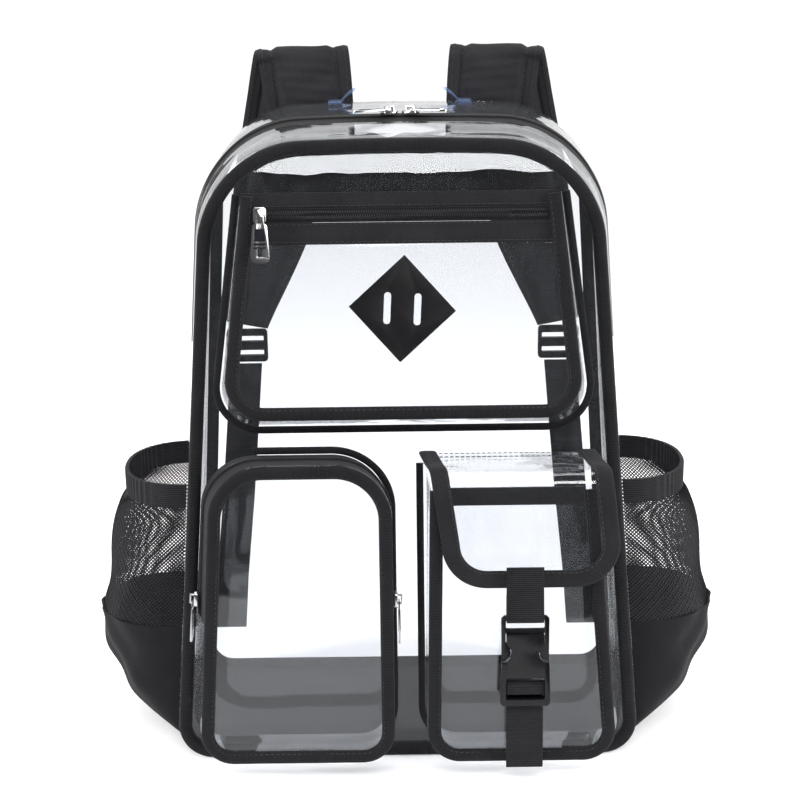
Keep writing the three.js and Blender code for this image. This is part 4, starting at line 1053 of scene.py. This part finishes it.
def through(places, count=200):
    """A centripetal Catmull-Rom curve: cubic stretches whose knots are the roots of the spacings."""
    places = np.asarray(places, float)
    ends = [2 * places[0] - places[1], 2 * places[-1] - places[-2]]
    full = np.concatenate([ends[:1], places, ends[1:]])
    share = np.linspace(0, len(places) - 1, count)
    k = np.minimum(share.astype(int), len(places) - 2)
    t = (share - k)[:, None]
    p0, p1, p2, p3 = (full[k + n] for n in range(4))
    spans = (p1 - p0, p2 - p1, p3 - p2)
    d0, d1, d2 = (np.sqrt(np.linalg.norm(span, axis=1, keepdims=True)) for span in spans)
    m1 = ((p1 - p0) / d0 - (p2 - p0) / (d0 + d1) + (p2 - p1) / d1) * d1
    m2 = ((p2 - p1) / d1 - (p3 - p1) / (d1 + d2) + (p3 - p2) / d2) * d1
    return (2 * p1 - 2 * p2 + m1 + m2) * t**3 + (3 * p2 - 3 * p1 - 2 * m1 - m2) * t**2 + m1 * t + p1


def run_of(curve):
    """The length along a curve up to each of its points."""
    return np.concatenate([[0], np.cumsum(np.linalg.norm(np.diff(curve, axis=0), axis=1))])


FLAP = {
    "high_left": 10.0, "high_right": 131.0, "low_left": 24.0, "low_right": 142.0,
    "attach": 220.5, "low": 143.0, "radius": 30.0, "binding": 12.0, "binding_thick": 2.0,
}
FLAP_REACH = LOWER_DEPTH + VINYL + PIPING_THICK + 5 * GAP
flap_curve = through([
    (PANEL_FACE, FLAP["attach"]),
    (PANEL_FACE - 0.5 * FLAP_REACH, lerp(RIGHT_TOP_REAR, FLAP["attach"], 0.75)),
    (PANEL_FACE - 0.9 * FLAP_REACH, RIGHT_TOP_REAR + 2),
    (PANEL_FACE - 1.01 * FLAP_REACH, RIGHT_TOP_FRONT),
    (PANEL_FACE - FLAP_REACH, lerp(FLAP["low"], RIGHT_TOP_FRONT, 0.6)),
    (PANEL_FACE - FLAP_REACH, FLAP["low"]),
], 400)
flap_run = run_of(flap_curve)
FLAP_LENGTH = flap_run[-1]
flap_tangent = unit(np.gradient(flap_curve, axis=0))


def on_flap(x, run, rise):
    """A point of the flap from its place across, its run along the profile and its rise."""
    y, z, ty, tz = (np.interp(run, flap_run, values) for values in (*flap_curve.T, *flap_tangent.T))
    return np.stack([np.broadcast_to(x, y.shape), y + rise * tz, z - rise * ty], -1)


def flap_edge(side):
    """One side edge and its rounded corner: x, run, and the inward direction in both."""
    label = "left" if side < 0 else "right"
    high, low = FLAP[f"high_{label}"], FLAP[f"low_{label}"]
    corner = FLAP_LENGTH - FLAP["radius"]
    run = np.linspace(0, corner, 70)[:-1]
    x = lerp(high, low, run / corner)
    angle = np.linspace(0, np.pi / 2, 20)
    bend = np.stack([
        low - side * FLAP["radius"] * (1 - np.cos(angle)),
        corner + FLAP["radius"] * np.sin(angle),
        -side * np.cos(angle),
        -np.sin(angle),
    ], -1)
    straight = np.stack([x, run, np.full_like(x, -side), 0 * x], -1)
    return np.concatenate([straight, bend])


flap_left, flap_right = flap_edge(-1), flap_edge(1)
flap_x = lerp(flap_left[:, :1], flap_right[:, :1], np.linspace(0, 1, 41)[None])
flap_runs = np.repeat(flap_left[:, 1:2], 41, 1)
flap_bow = np.abs(held_waves(*flap_x.shape, 0.9, 31))
flap_outer = on_flap(flap_x, flap_runs, VINYL + flap_bow)
flap_sheet = mesh_piece("flap_sheet", sheet_body(flap_outer, on_flap(flap_x, flap_runs, flap_bow)),
                        clear_vinyl, replaces=["flap"])

flap_u = np.concatenate([flap_left, flap_right[::-1]])
BINDING_LOW = VINYL + GAP
BINDING_HIGH = BINDING_LOW + FLAP["binding_thick"]
flap_section = dome(0, FLAP["binding"], BINDING_LOW, BINDING_HIGH, 14, 3.4)
into, rise = flap_section[None, :, 0], flap_section[None, :, 1]
flap_rows = on_flap(flap_u[:, :1] + flap_u[:, 2:3] * into, flap_u[:, 1:2] + flap_u[:, 3:] * into,
                    np.broadcast_to(rise, (len(flap_u), rise.shape[1])))
flap_tape = mesh_piece("flap_edge_tape", swept_body(flap_rows), band, replaces=["flap_binding"])

# %% [markdown]
# ## Webbing and buckle
# A webbing over the flap runs round the bar of the buckle's upper half and back behind it. A second
# one runs from the buckle's foot down to the bottom seam. Both are a flat section with rounded
# edges, carried along their side profile.

# %% Webbings on the flap
WEBBING, WEBBING_THICK = 25.0, 1.4
STRAP_X, BAR = 79.0, 2.8
UPPER_TOP, UPPER_BAR, UPPER_TAIL = 158.0, 123.2, 138.0
ADJUSTER_BAR, LOWER_TAIL, LOWER_END = 75.0, 70.0, 14.5
FLAP_FRONT = PANEL_FACE - FLAP_REACH - BINDING_HIGH
BAR_Y = FLAP_FRONT - GAP - 1.2
WRAP = BAR / 2 + 2 * GAP + WEBBING_THICK / 2 + 0.3


def dense(profile, spacing=1.5):
    """Extra places along straight stretches, no further apart than the spacing."""
    profile = np.asarray(profile, float)
    run = run_of(profile)
    places = np.unique(np.concatenate([run, np.arange(0, run[-1], spacing)]))
    return np.stack([np.interp(places, run, profile[:, c]) for c in range(profile.shape[1])], -1)


def flat_section(width, thick, sides=6):
    """A flat section with half-round edges: across and rise of each of its corners."""
    angle = np.linspace(-np.pi / 2, np.pi / 2, sides)
    right = np.stack([width / 2 - thick / 2 + np.cos(angle) * thick / 2, np.sin(angle) * thick / 2], -1)
    return np.concatenate([right, -right])


def webbing_body(profile, width, thick, x):
    """The flat section across X at each place (y, z) of the profile, square to its direction."""
    profile = dense(profile)
    along = unit(np.gradient(profile, axis=0))
    section = flat_section(width, thick)
    across, height = section[None, :, 0], section[None, :, 1]
    y = profile[:, :1] + height * along[:, 1:]
    z = profile[:, 1:] - height * along[:, :1]
    return swept_body(np.stack([np.broadcast_to(x + across, y.shape), y, z], -1))


def half_turn(bar_z, direction):
    """Half a turn round a bar, from its front over or under it to its back."""
    angle = np.linspace(0, np.pi, 15)
    return np.stack([BAR_Y - WRAP * np.cos(angle), bar_z + direction * WRAP * np.sin(angle)], -1)


over_flap = FLAP_FRONT - GAP - WEBBING_THICK / 2
upper_profile = [(over_flap, UPPER_TOP), (over_flap, FLAP["low"]), *half_turn(UPPER_BAR, -1),
                 (BAR_Y + WRAP, UPPER_TAIL)]
lower_profile = [(BAR_Y - WRAP, LOWER_TAIL), *half_turn(ADJUSTER_BAR, 1), (BAR_Y + WRAP, LOWER_END)]
mesh_piece("flap_webbing", webbing_body(upper_profile, WEBBING, WEBBING_THICK, STRAP_X), webbing,
           replaces=["webbing_upper"])
mesh_piece("pocket_webbing", webbing_body(lower_profile, WEBBING, WEBBING_THICK, STRAP_X), webbing,
           replaces=["webbing_lower"])

# %% [markdown]
# ## Hard pieces
# The buckle, the sliders, their pulls and the ladder locks have the right shape already, but every
# edge of a solid is sharp. Moulded and cast pieces have small radii that catch the light. A copy of
# the solid is merged into whole faces, and a bevel rounds its edges.

# %% Rounded copies of the hard solids
import bmesh


def rounded_copy(node, name, paint, radius, body=BAG, segments=3):
    """A copy of a solid with its flat faces whole, its edges bevelled and its curves smooth."""
    grown = bmesh.new()
    grown.from_mesh(frame["nodes"][node].data)
    bmesh.ops.remove_doubles(grown, verts=grown.verts, dist=0.00001)
    flat = math.radians(1.5)
    bmesh.ops.dissolve_limit(grown, angle_limit=flat, verts=grown.verts, edges=grown.edges)
    mesh = bpy.data.meshes.new(name)
    grown.to_mesh(mesh)
    grown.free()
    mesh.materials.clear()
    mesh.materials.append(paint.material)
    mesh.polygons.foreach_set("use_smooth", np.ones(len(mesh.polygons), bool))
    piece = bpy.data.objects.new(name, mesh)
    bpy.context.scene.collection.objects.link(piece)
    bevel = piece.modifiers.new("soft_edges", "BEVEL")
    bevel.width = radius * MM
    bevel.segments = segments
    bevel.limit_method = "ANGLE"
    bevel.angle_limit = math.radians(32)
    bevel.harden_normals = True
    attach(piece, body)
    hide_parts(node)
    return piece


rounded_copy("buckle_male", "buckle_prong_half", plastic, 0.5)
rounded_copy("buckle_female", "buckle_socket_half", plastic, 0.9)
for label in ("left", "right"):
    rounded_copy(f"ladder_lock_{label}", f"strap_lock_{label}", plastic, 0.8)
rounded_copy("lash_tab", "leather_tab", leather, 0.5)

SLIDERS = {
    "upper_slider": "upper_pull",
    "main_slider_left": "main_pull_left",
    "main_slider_right": "main_pull_right",
    "left_slider_inner": "left_pull_inner",
    "left_slider_outer": "left_pull_outer",
}
hinges = {joint["child"]: joint for joint in frame["joints"]}
for node, pull in SLIDERS.items():
    rounded_copy(node, node + "_cast", metal, 0.45)
    rounded_copy(pull, pull + "_rim", metal, 0.3, pull + "_body")


def inlay_body(pull):
    """Enamel panels in a pull's own frame: along it, along its hinge, and out of its face."""
    joint = hinges[pull + "_body"]
    centre = np.array(joint["pos_m"]) / MM
    axis = unit(np.array(joint["axis"], float))
    points = np.zeros(len(frame["nodes"][pull].data.vertices) * 3, np.float32)
    frame["nodes"][pull].data.vertices.foreach_get("co", points)
    reach = points.reshape(-1, 3).mean(0) / MM - centre
    along = unit(reach - axis * (reach @ axis))
    out = np.cross(along, axis)
    panels = [(7.4, 15.6, 3.4, 3.9), (16.8, 18.2, 4.0, 4.1), (19.4, 20.4, 4.1, 4.2)]
    bodies = []
    for start, end, half_start, half_end in panels:
        x, y = np.meshgrid([start, end], [-1, -0.9, 0.9, 1], indexing="ij")
        half = lerp(half_start, half_end, (x - start) / (end - start))
        faces = []
        for height in (0.85, -0.85):
            level = np.where(np.abs(y) < 0.95, height, height * 0.7)
            spot = centre + x[..., None] * along + (y * half)[..., None] * axis
            faces.append(spot + level[..., None] * out)
        bodies.append(sheet_body(*faces))
    return joined(bodies)


for pull in SLIDERS.values():
    mesh_piece(pull + "_inlay", inlay_body(pull), enamel, body=pull + "_body")
print("hard pieces are done")

# %% [markdown]
# ## Side pockets
# Each side pocket is a net over a cloth foot, gathered by an elastic hem. All three lie on one
# bowed surface that stands out of the bag's side. The net is made of real yarns: two families of
# slanting strands that pass over and under each other, so light and shadow fall through its cells.

# %% The bowed surface of a side pocket
POCKET_FRONT, POCKET_REAR = -66.0, 56.0
NET_ROWS = [(180, 45), (168, 53), (124, 56), (93, 62)]
FOOT_ROWS = [(92.7, 62.5), (58, 54), (38, 44), (25, 31), (16, 17), (9, 5)]
HEM_ROWS = [(180 + GAP + 17, 47), (180 + GAP, 45.6)]


def side_reach(y, z):
    """How far the bag's side stands from the middle at a height and a depth."""
    share = (y + HALF_DEPTH) / DEPTH
    front = lerp(BOTTOM_HALF, FRONT_TOP_HALF, z / FRONT_HEIGHT)
    rear = lerp(BOTTOM_HALF, BACK_TOP_HALF, z / BACK_HEIGHT)
    under = np.maximum(0, BOTTOM_RADIUS - z)
    tuck = BOTTOM_RADIUS - np.sqrt(BOTTOM_RADIUS**2 - under**2)
    return lerp(front, rear, share) - tuck + bag_puff(z) * np.sin(np.pi * share)


def bowed(side, z, reach, share, depth):
    """A point of the pocket: reach times a superellipse of the share across, out of the side."""
    y = lerp(POCKET_FRONT + depth, POCKET_REAR - depth, share)
    bow = (1 - np.abs(2 * share - 1) ** 2.4) ** (1 / 2.4)
    out = side_reach(y, z) + 2 * GAP + (reach - depth) * bow
    return np.stack([side * out, y, z], -1)


def bowed_sheet(side, rows, thick, folds, count=40, columns=121):
    """A closed cloth on the bowed surface; folds is how far it moves at each place."""
    z, reach = through(rows, count).T
    angle = np.linspace(0, np.pi, columns)
    z, share = np.meshgrid(z, (1 - np.cos(angle)) / 2, indexing="ij")
    reach = np.repeat(reach[:, None], columns, 1)
    hold = np.clip(12 * share * (1 - share), 0, 1)
    depth = -folds(share, z) * hold
    outer = bowed(side, z, reach, share, depth)
    inner = bowed(side, z, reach, share, depth + thick)
    return sheet_body(outer, inner)


def foot_folds(share, z):
    """Slack folds that slant down to the seams, deepest near the middle of the cloth."""
    slant = np.sin(13 * share + 0.09 * z) * np.sin(0.05 * z + 2.0)
    fine = np.sin(31 * share - 0.16 * z + 1.0)
    free = 0.4 + 0.6 * smoothstep(z, 12, 45)
    return free * (2.3 * slant + 0.8 * fine) - 0.6


def hem_gathers(share, z):
    """The small even gathers of the elastic hem, the same at every height."""
    return 0.45 * np.sin(190 * share) - 0.3 + 0 * z


def many_tubes(paths, radius, sides=3):
    """Round tubes along many paths at once, all with the same number of points."""
    count, steps = paths.shape[:2]
    tangent = unit(np.gradient(paths, axis=1))
    side = unit(np.cross(tangent, np.array([0.31, 0.87, 0.4])))
    other = np.cross(tangent, side)
    angle = np.linspace(0, 2 * np.pi, sides + 1)[:-1]
    ring = np.cos(angle)[:, None] * side[:, :, None] + np.sin(angle)[:, None] * other[:, :, None]
    points = (paths[:, :, None] + ring * radius).reshape(-1, 3)
    first = np.arange(count) * steps * sides
    quads = (grid_quads(steps, sides, closed=True)[None] + first[:, None, None]).reshape(-1, 4)
    caps = np.stack([np.arange(sides)[::-1], (steps - 1) * sides + np.arange(sides)])
    ends = (caps[None] + first[:, None, None]).reshape(-1, sides)
    return points, outward(points, [quads, ends]), points[:, [0, 2]]


def net_paths(side, cell=2.8, steps=64):
    """Two families of strands: straight lines on the surface laid flat, wound over each other."""
    z_row, reach_row = through(NET_ROWS, 100).T
    fall = run_of(np.stack([z_row, reach_row], -1))
    share_row = (1 - np.cos(np.linspace(0, np.pi, 400))) / 2
    middle = bowed(1, np.full(400, 130.0), np.full(400, 55.0), share_row, 0.0)
    girth = run_of(middle)
    wide, high = girth[-1], fall[-1]
    families = []
    for turn in (-1, 1):
        start = np.arange(-high + cell / 2, wide + high, cell)
        enter = np.clip((0 - start) * turn, 0, high) if turn > 0 else np.clip(start - wide, 0, high)
        leave = np.clip(wide - start, 0, high) if turn > 0 else np.clip(start, 0, high)
        keep = leave - enter > cell
        down = lerp(enter[keep, None], leave[keep, None], np.linspace(0, 1, steps))
        over = start[keep, None] + turn * down
        share = np.interp(over, girth, share_row)
        z = np.interp(down, fall, z_row)
        reach = np.interp(down, fall, reach_row)
        hold = np.clip(12 * share * (1 - share), 0, 1)
        folds = 1.3 * np.sin(0.05 * over + 0.085 * down) + 0.7 * np.sin(0.11 * over - 0.06 * down + 1)
        wound = 0.16 * np.sin(np.pi * (over - turn * down) / cell) * turn
        families.append(bowed(side, z, reach, share, 0.5 - (folds - 1.2) * hold * 0.8 + wound))
    return np.concatenate(families)


for side, label in ((-1, "left"), (1, "right")):
    strands = many_tubes(net_paths(side), 0.51)
    mesh_piece(f"side_net_{label}", strands, yarn, replaces=[f"side_mesh_{label}"])
    foot = bowed_sheet(side, FOOT_ROWS, 1.6, foot_folds, 60)
    mesh_piece(f"side_foot_{label}", foot, foot_cloth, replaces=[f"side_base_{label}"])
    hem = bowed_sheet(side, HEM_ROWS, 2.4, hem_gathers, 14, 241)
    mesh_piece(f"side_hem_{label}", hem, webbing, replaces=[f"side_elastic_{label}"])
print("side pockets are done")

# %% [markdown]
# ## Yoke and straps
# A cloth yoke on the back carries two straps. A strap rises from the yoke, arches over and falls
# behind the bag. It is a foam pad between two cloths, so its section swells in the middle, pinches
# at the two seams beside the pad, and runs out into flat edges. The section is carried along a
# smooth curve through the strap's places.

# %% Yoke
BACK_FACE = HALF_DEPTH + GAP
YOKE_Z, YOKE_HALF = (366.0, 402.0, 426.0), (86.0, 109.0, 96.0)
YOKE_THICK = 2.2

v, u = np.meshgrid(np.linspace(0, 1, 30), np.linspace(-1, 1, 90), indexing="ij")
yoke_z = lerp(YOKE_Z[0], YOKE_Z[-1], v)
edge_wave = 1.1 * np.sin(17 * u) + 0.8 * np.sin(29 * u + 1) - 1.9
yoke_z = yoke_z + edge_wave * v**3
yoke_x = u * np.interp(yoke_z, YOKE_Z, YOKE_HALF) * (1 - 0.02 * (2 * v - 1) ** 8)
swell = YOKE_THICK * (0.5 + 0.5 * np.clip(14 * (1 - np.abs(u)), 0, 1) * np.clip(14 * v * (1 - v), 0, 1))
yoke_back = np.stack([yoke_x, BACK_FACE + swell, yoke_z], -1)
yoke_front = np.stack([yoke_x, np.full_like(yoke_x, BACK_FACE), yoke_z], -1)
mesh_piece("back_yoke", sheet_body(yoke_back, yoke_front), leather, replaces=["yoke"])

# %% Padded straps
PAD_THICK, EDGE_THICK, PAD_SHARE, ANCHOR = 9.0, 3.0, 0.68, 36.0
STRAP_ROWS = np.array([
    (65, 7.6, 388, 60), (66, 9.4, 425, 64), (69, 12, 462, 67), (72, 19, 483.5, 68), (76, 33, 478, 68),
    (84, 42, 440, 68), (93, 44, 395, 68), (104, 40, 345, 62), (116, 32, 302, 46), (121, 26, 276, 32),
])
strap_path = through([(out, HALF_DEPTH + back, z) for out, back, z, _ in STRAP_ROWS], 220)
strap_width = np.interp(np.linspace(0, 9, 220), np.arange(10), STRAP_ROWS[:, 3])
strap_tangent = unit(np.gradient(strap_path, axis=0))
strap_normal = unit(np.cross(np.array([1.0, 0, 0]), strap_tangent))
strap_across = unit(np.cross(strap_tangent, strap_normal))


def strap_half(share, width):
    """Half the thickness at a share across: a crowned pad, two pinched seams and thin edges."""
    place = np.abs(share) * width / 2
    pad = width * PAD_SHARE / 2
    crown = np.sqrt(np.clip(1 - (place / pad) ** 2 * 0.55, 0, 1))
    padded = EDGE_THICK / 2 + (PAD_THICK - EDGE_THICK) / 2 * crown * (1 - smoothstep(place, pad - 5, pad))
    seam_dip = 0.75 * np.exp(-(((place - pad - 0.4) / 1.1) ** 2))
    edge = 1 - 0.75 * smoothstep(np.abs(share), 0.93, 1.0)
    return (padded - seam_dip) * edge


def strap_body(side):
    """The two faces of a strap; slow puckers run along the pad between its seams."""
    share = np.linspace(-1, 1, 61)[None]
    width = strap_width[:, None]
    half = strap_half(share, width)
    run = run_of(strap_path)[:, None]
    inside = 1 - smoothstep(np.abs(share) * width / 2, width * PAD_SHARE / 2 - 3, width * PAD_SHARE / 2)
    slow, quick = np.sin(run * 0.32 + share * 3), np.sin(run * 0.83 - share * 5)
    pucker = (0.22 * slow + 0.18 * quick) * (0.3 + inside)
    faces = []
    for sign in (1, -1):
        spot = strap_path[:, None] + strap_across[:, None] * (share * width / 2)[..., None]
        spot = spot + strap_normal[:, None] * (sign * (half + pucker * (half > 0.6)))[..., None]
        spot[..., 0] *= side
        faces.append(spot)
    return sheet_body(*faces)


def strap_stitches(side):
    """Stitches beside the pad and along the edges, on both faces of the strap."""
    bodies = []
    for sign in (1, -1):
        for place in (-1, 1):
            for kind in ("pad", "edge"):
                if kind == "pad":
                    offset = place * (strap_width * PAD_SHARE / 2 + 0.4)
                else:
                    offset = place * (strap_width / 2 - 3.4)
                half = strap_half(offset * 2 / strap_width, strap_width)
                path = strap_path + strap_across * offset[:, None] + strap_normal * (sign * half)[:, None]
                normal = strap_normal * sign
                scale = np.array([side, 1, 1])
                bodies.append(stitch_bodies(path[4:-4] * scale, normal[4:-4] * scale, 3.0, 1.3, 0.26, 0.12))
    return joined(bodies)


for side, label in ((-1, "left"), (1, "right")):
    strap = mesh_piece(f"padded_strap_{label}", strap_body(side), pack_cloth, replaces=[f"strap_{label}"])
    mesh_piece(f"strap_stitches_{label}", strap_stitches(side), thread)

# %% [markdown]
# ## Strap webbings and carry handle
# A webbing runs from each ladder lock down to the foot of the back. The carry handle is a band of
# tinted vinyl that arches over the middle of the top, with its two ends sewn to the rear strip.

# %% Strap webbings
LOCK_HEIGHT = 26.0
lock_top = STRAP_ROWS[-1][2] - EDGE_THICK
WEBBING_ROWS = [
    (122.5, 21.5, lock_top - LOCK_HEIGHT - 0.5), (126, 17, 200), (131, 12, 140), (137, 6, 80),
    (140, GAP + WEBBING_THICK, ANCHOR),
]
band_path = dense(WEBBING_ROWS, 2.0)
band_section = flat_section(WEBBING, WEBBING_THICK)
for side, label in ((-1, "left"), (1, "right")):
    rows = np.stack([
        side * (band_path[:, :1] + band_section[None, :, 0]),
        HALF_DEPTH + band_path[:, 1:2] - band_section[None, :, 1] + 0 * band_section[None, :, 0],
        band_path[:, 2:] + 0 * band_section[None, :, 0],
    ], -1)
    mesh_piece(f"strap_band_{label}", swept_body(rows), webbing, replaces=[f"strap_webbing_{label}"])

# %% Carry handle
HANDLE_HALF, HANDLE_TAB, HANDLE_RISE = 52.0, 10.0, 15.0
HANDLE_WIDTH, HANDLE_THICK, HANDLE_BACK = 22.0, 1.8, 14.0
across, x = np.meshgrid(np.linspace(-1, 1, 13), np.linspace(-1, 1, 70) * HANDLE_HALF)
from_back = HANDLE_BACK - across * HANDLE_WIDTH / 2
handle_share = share_of(DEPTH - from_back)
corner_x = bag_wall.at(np.full(x.shape, TOP_RIGHT), handle_share)[..., 0]
place_along = lerp(TOP_RIGHT, HIGH_LEFT, 0.5 - x / corner_x / 2)
ground = bag_wall.at(place_along, handle_share)[..., 2]
inner_half = HANDLE_HALF - HANDLE_TAB
arch = np.maximum(0, 1 - (x / inner_half) ** 2) ** 0.6
low_z = ground + 2 * GAP + HANDLE_RISE * arch
crown = HANDLE_THICK * (0.55 + 0.45 * np.sqrt(np.clip(1 - across**6, 0, 1)))
handle_faces = [np.stack([x, HALF_DEPTH - from_back, z], -1) for z in (low_z + crown, low_z)]
mesh_piece("carry_band", sheet_body(*handle_faces), tinted_vinyl, replaces=["carry_handle"])
print("the back is done")

# %% [markdown]
# ## Stitching on the tapes
# Tapes and bands are held by lock stitches of black thread. Each stitch is a short tube that rises
# out of the cloth and dips back in.

# %% Stitch rows


def rim_stitches(rim, indices, out, y):
    """A row of stitches that follows a rim at a distance out of it, on a face at y."""
    wall = Wall(rim, rim)
    path = wall.at(indices, np.zeros(len(indices)), np.full(len(indices), out))
    path[:, 1] += y
    normal = np.tile([0.0, math.copysign(1, y), 0.0], (len(path), 1))
    return stitch_bodies(path, normal)


def face_row(z, half, rise):
    """A row of stitches across the upper pocket's head at a height."""
    x = np.linspace(-half, half, 160)
    path = on_upper_face(x, np.full(160, z)) + FACE_OUT * (GAP + VINYL + rise)
    return stitch_bodies(path, np.tile(FACE_OUT, (160, 1)))


closed_round = np.arange(END + 1)
binding_row, binding_face = 1.7 - GAP - BINDING, GAP + 2.7
piping_row, piping_face = 1.6 - PIPING, -2 * GAP - VINYL - 2.25
for name, rim, steps, out, face in (
    ("front_tape_stitches", front_rim, closed_round, binding_row, -binding_face),
    ("back_tape_stitches", back_rim, closed_round, binding_row, binding_face),
    ("upper_edge_stitches", upper_front, upper_u, piping_row, piping_face),
    ("left_edge_stitches", left_front, closed_round, piping_row, piping_face),
    ("right_edge_stitches", right_front, right_u, piping_row, piping_face),
):
    mesh_piece(name, rim_stitches(rim, steps, out, face), thread)
head_rows = [
    face_row(zip_high + GAP + 1.2, upper_half(396) - 1, 0.42),
    face_row(low_band_high - 1.2, upper_half(380) - 1, 0.42),
    face_row(low_band_low + 1.4, upper_half(368) - 1, 0.42),
]
mesh_piece("upper_band_stitches", joined(head_rows), thread)
flap_path = on_flap(flap_u[:, 0] + flap_u[:, 2] * 10.6, flap_u[:, 1] + flap_u[:, 3] * 10.6,
                    np.full(len(flap_u), BINDING_HIGH - 0.35))
flap_up = unit(on_flap(flap_u[:, 0], flap_u[:, 1], np.full(len(flap_u), 1.0))
               - on_flap(flap_u[:, 0], flap_u[:, 1], np.zeros(len(flap_u))))
flap_rows_of_thread = [stitch_bodies(flap_path, flap_up)]
for run in (3.0, 11.0):
    row_x = np.linspace(FLAP["high_left"] + 13, FLAP["high_right"] - 13, 120)
    row = on_flap(row_x, np.full(120, run), np.full(120, VINYL + 0.9))
    row_up = on_flap(row_x, np.full(120, run), np.full(120, VINYL + 1.9)) - row
    flap_rows_of_thread.append(stitch_bodies(row, row_up, 2.6, 1.0, 0.34))
mesh_piece("flap_stitches", joined(flap_rows_of_thread), thread)
print("stitching is done")

# %% [markdown]

# %% [markdown]
# ## Floor and lights
# The photograph is a plain product picture: white floor, white surroundings, soft light. A room
# that is white all round would veil the film and grey the black trim, so the surroundings are
# white behind the bag and dim in front of it, where a studio is dark, and only what the camera
# itself sees is plain white. The floor ends a little in front of the bag for the same reason, and
# glows more the further it is from the bag, which leaves just a soft shadow at the foot. Two long
# soft boxes stand at the sides, so that rounded tapes and waves of film get bright lines. The key
# light is above the camera, where it shows in the rolled top of the front sheet.

# %% Floor
floor_mesh = bpy.data.meshes.new("studio_floor")
FLOOR_HALF, FLOOR_FRONT, FLOOR_REAR = 6.0, -0.45, 8.0
floor_corners = [
    (-FLOOR_HALF, FLOOR_FRONT, 0), (FLOOR_HALF, FLOOR_FRONT, 0),
    (FLOOR_HALF, FLOOR_REAR, 0), (-FLOOR_HALF, FLOOR_REAR, 0),
]
floor_mesh.from_pydata(floor_corners, [], [(0, 1, 2, 3)])
floor = bpy.data.objects.new("studio_floor", floor_mesh)
bpy.context.scene.collection.objects.link(floor)
floor_paint = Paint("studio_floor", None)
far = floor_paint.node("ShaderNodeVectorMath", {"operation": "LENGTH"}, {0: floor_paint.place()}, output=1)
far_share = ((far - 0.45) * 1.8).at_least(0.0).at_most(1.0)
glow = floor_paint.colours(far_share, (0.2, 0.2, 0.2), (0.72, 0.72, 0.72))
floor_paint.finish(floor_paint.shader({
    "Base Color": (0.90, 0.90, 0.905, 1),
    "Roughness": 0.9,
    "Specular IOR Level": 0.0,
    "Emission Color": glow,
    "Emission Strength": 1.0,
}))
floor_mesh.materials.append(floor_paint.material)

# %% Lights
world = bpy.data.worlds.new("studio")
bpy.context.scene.world = world
world.use_nodes = True
nodes, links = world.node_tree.nodes, world.node_tree.links
background = nodes["Background"]
background.inputs["Color"].default_value = (1.0, 1.0, 1.0, 1)
towards = nodes.new("ShaderNodeTexCoord")
axes = nodes.new("ShaderNodeSeparateXYZ")
by_side = nodes.new("ShaderNodeMapRange")
for setting, value in (("From Min", -0.1), ("From Max", 0.5), ("To Min", 0.12), ("To Max", 1.05)):
    by_side.inputs[setting].default_value = value
in_frame = nodes.new("ShaderNodeLightPath")
strength = nodes.new("ShaderNodeMath")
strength.operation = "MAXIMUM"
links.new(towards.outputs["Generated"], axes.inputs[0])
links.new(axes.outputs["Y"], by_side.inputs["Value"])
links.new(by_side.outputs[0], strength.inputs[0])
links.new(in_frame.outputs["Is Camera Ray"], strength.inputs[1])
links.new(strength.outputs[0], background.inputs["Strength"])


def soft_box(name, place, towards, size, watts):
    """A rectangular light at a place, turned towards a spot of the bag."""
    data = bpy.data.lights.new(name, "AREA")
    data.shape = "RECTANGLE"
    data.size, data.size_y = size
    data.energy = watts
    box = bpy.data.objects.new(name, data)
    box.location = place
    box.rotation_euler = (Vector(towards) - Vector(place)).to_track_quat("-Z", "Y").to_euler()
    bpy.context.scene.collection.objects.link(box)


for name, place, towards_spot, size, watts in (
    ("left_box", (-1.5, -0.5, 0.7), (0, 0, 0.22), (0.25, 1.4), 28),
    ("right_box", (1.5, -0.5, 0.7), (0, 0, 0.22), (0.25, 1.4), 28),
    ("key_box", (0, -1.35, 1.15), (0, 0, 0.25), (1.5, 0.35), 22),
    ("top_box", (0, 0.1, 1.6), (0, 0, 0.2), (1.2, 0.5), 14),
):
    soft_box(name, place, towards_spot, size, watts)
bpy.context.scene.view_settings.view_transform = "Standard"
bpy.context.scene.cycles.transparent_max_bounces = 48
bpy.context.scene.cycles.sample_clamp_indirect = 1.5
print("lights are set")

# %% The json module
import json
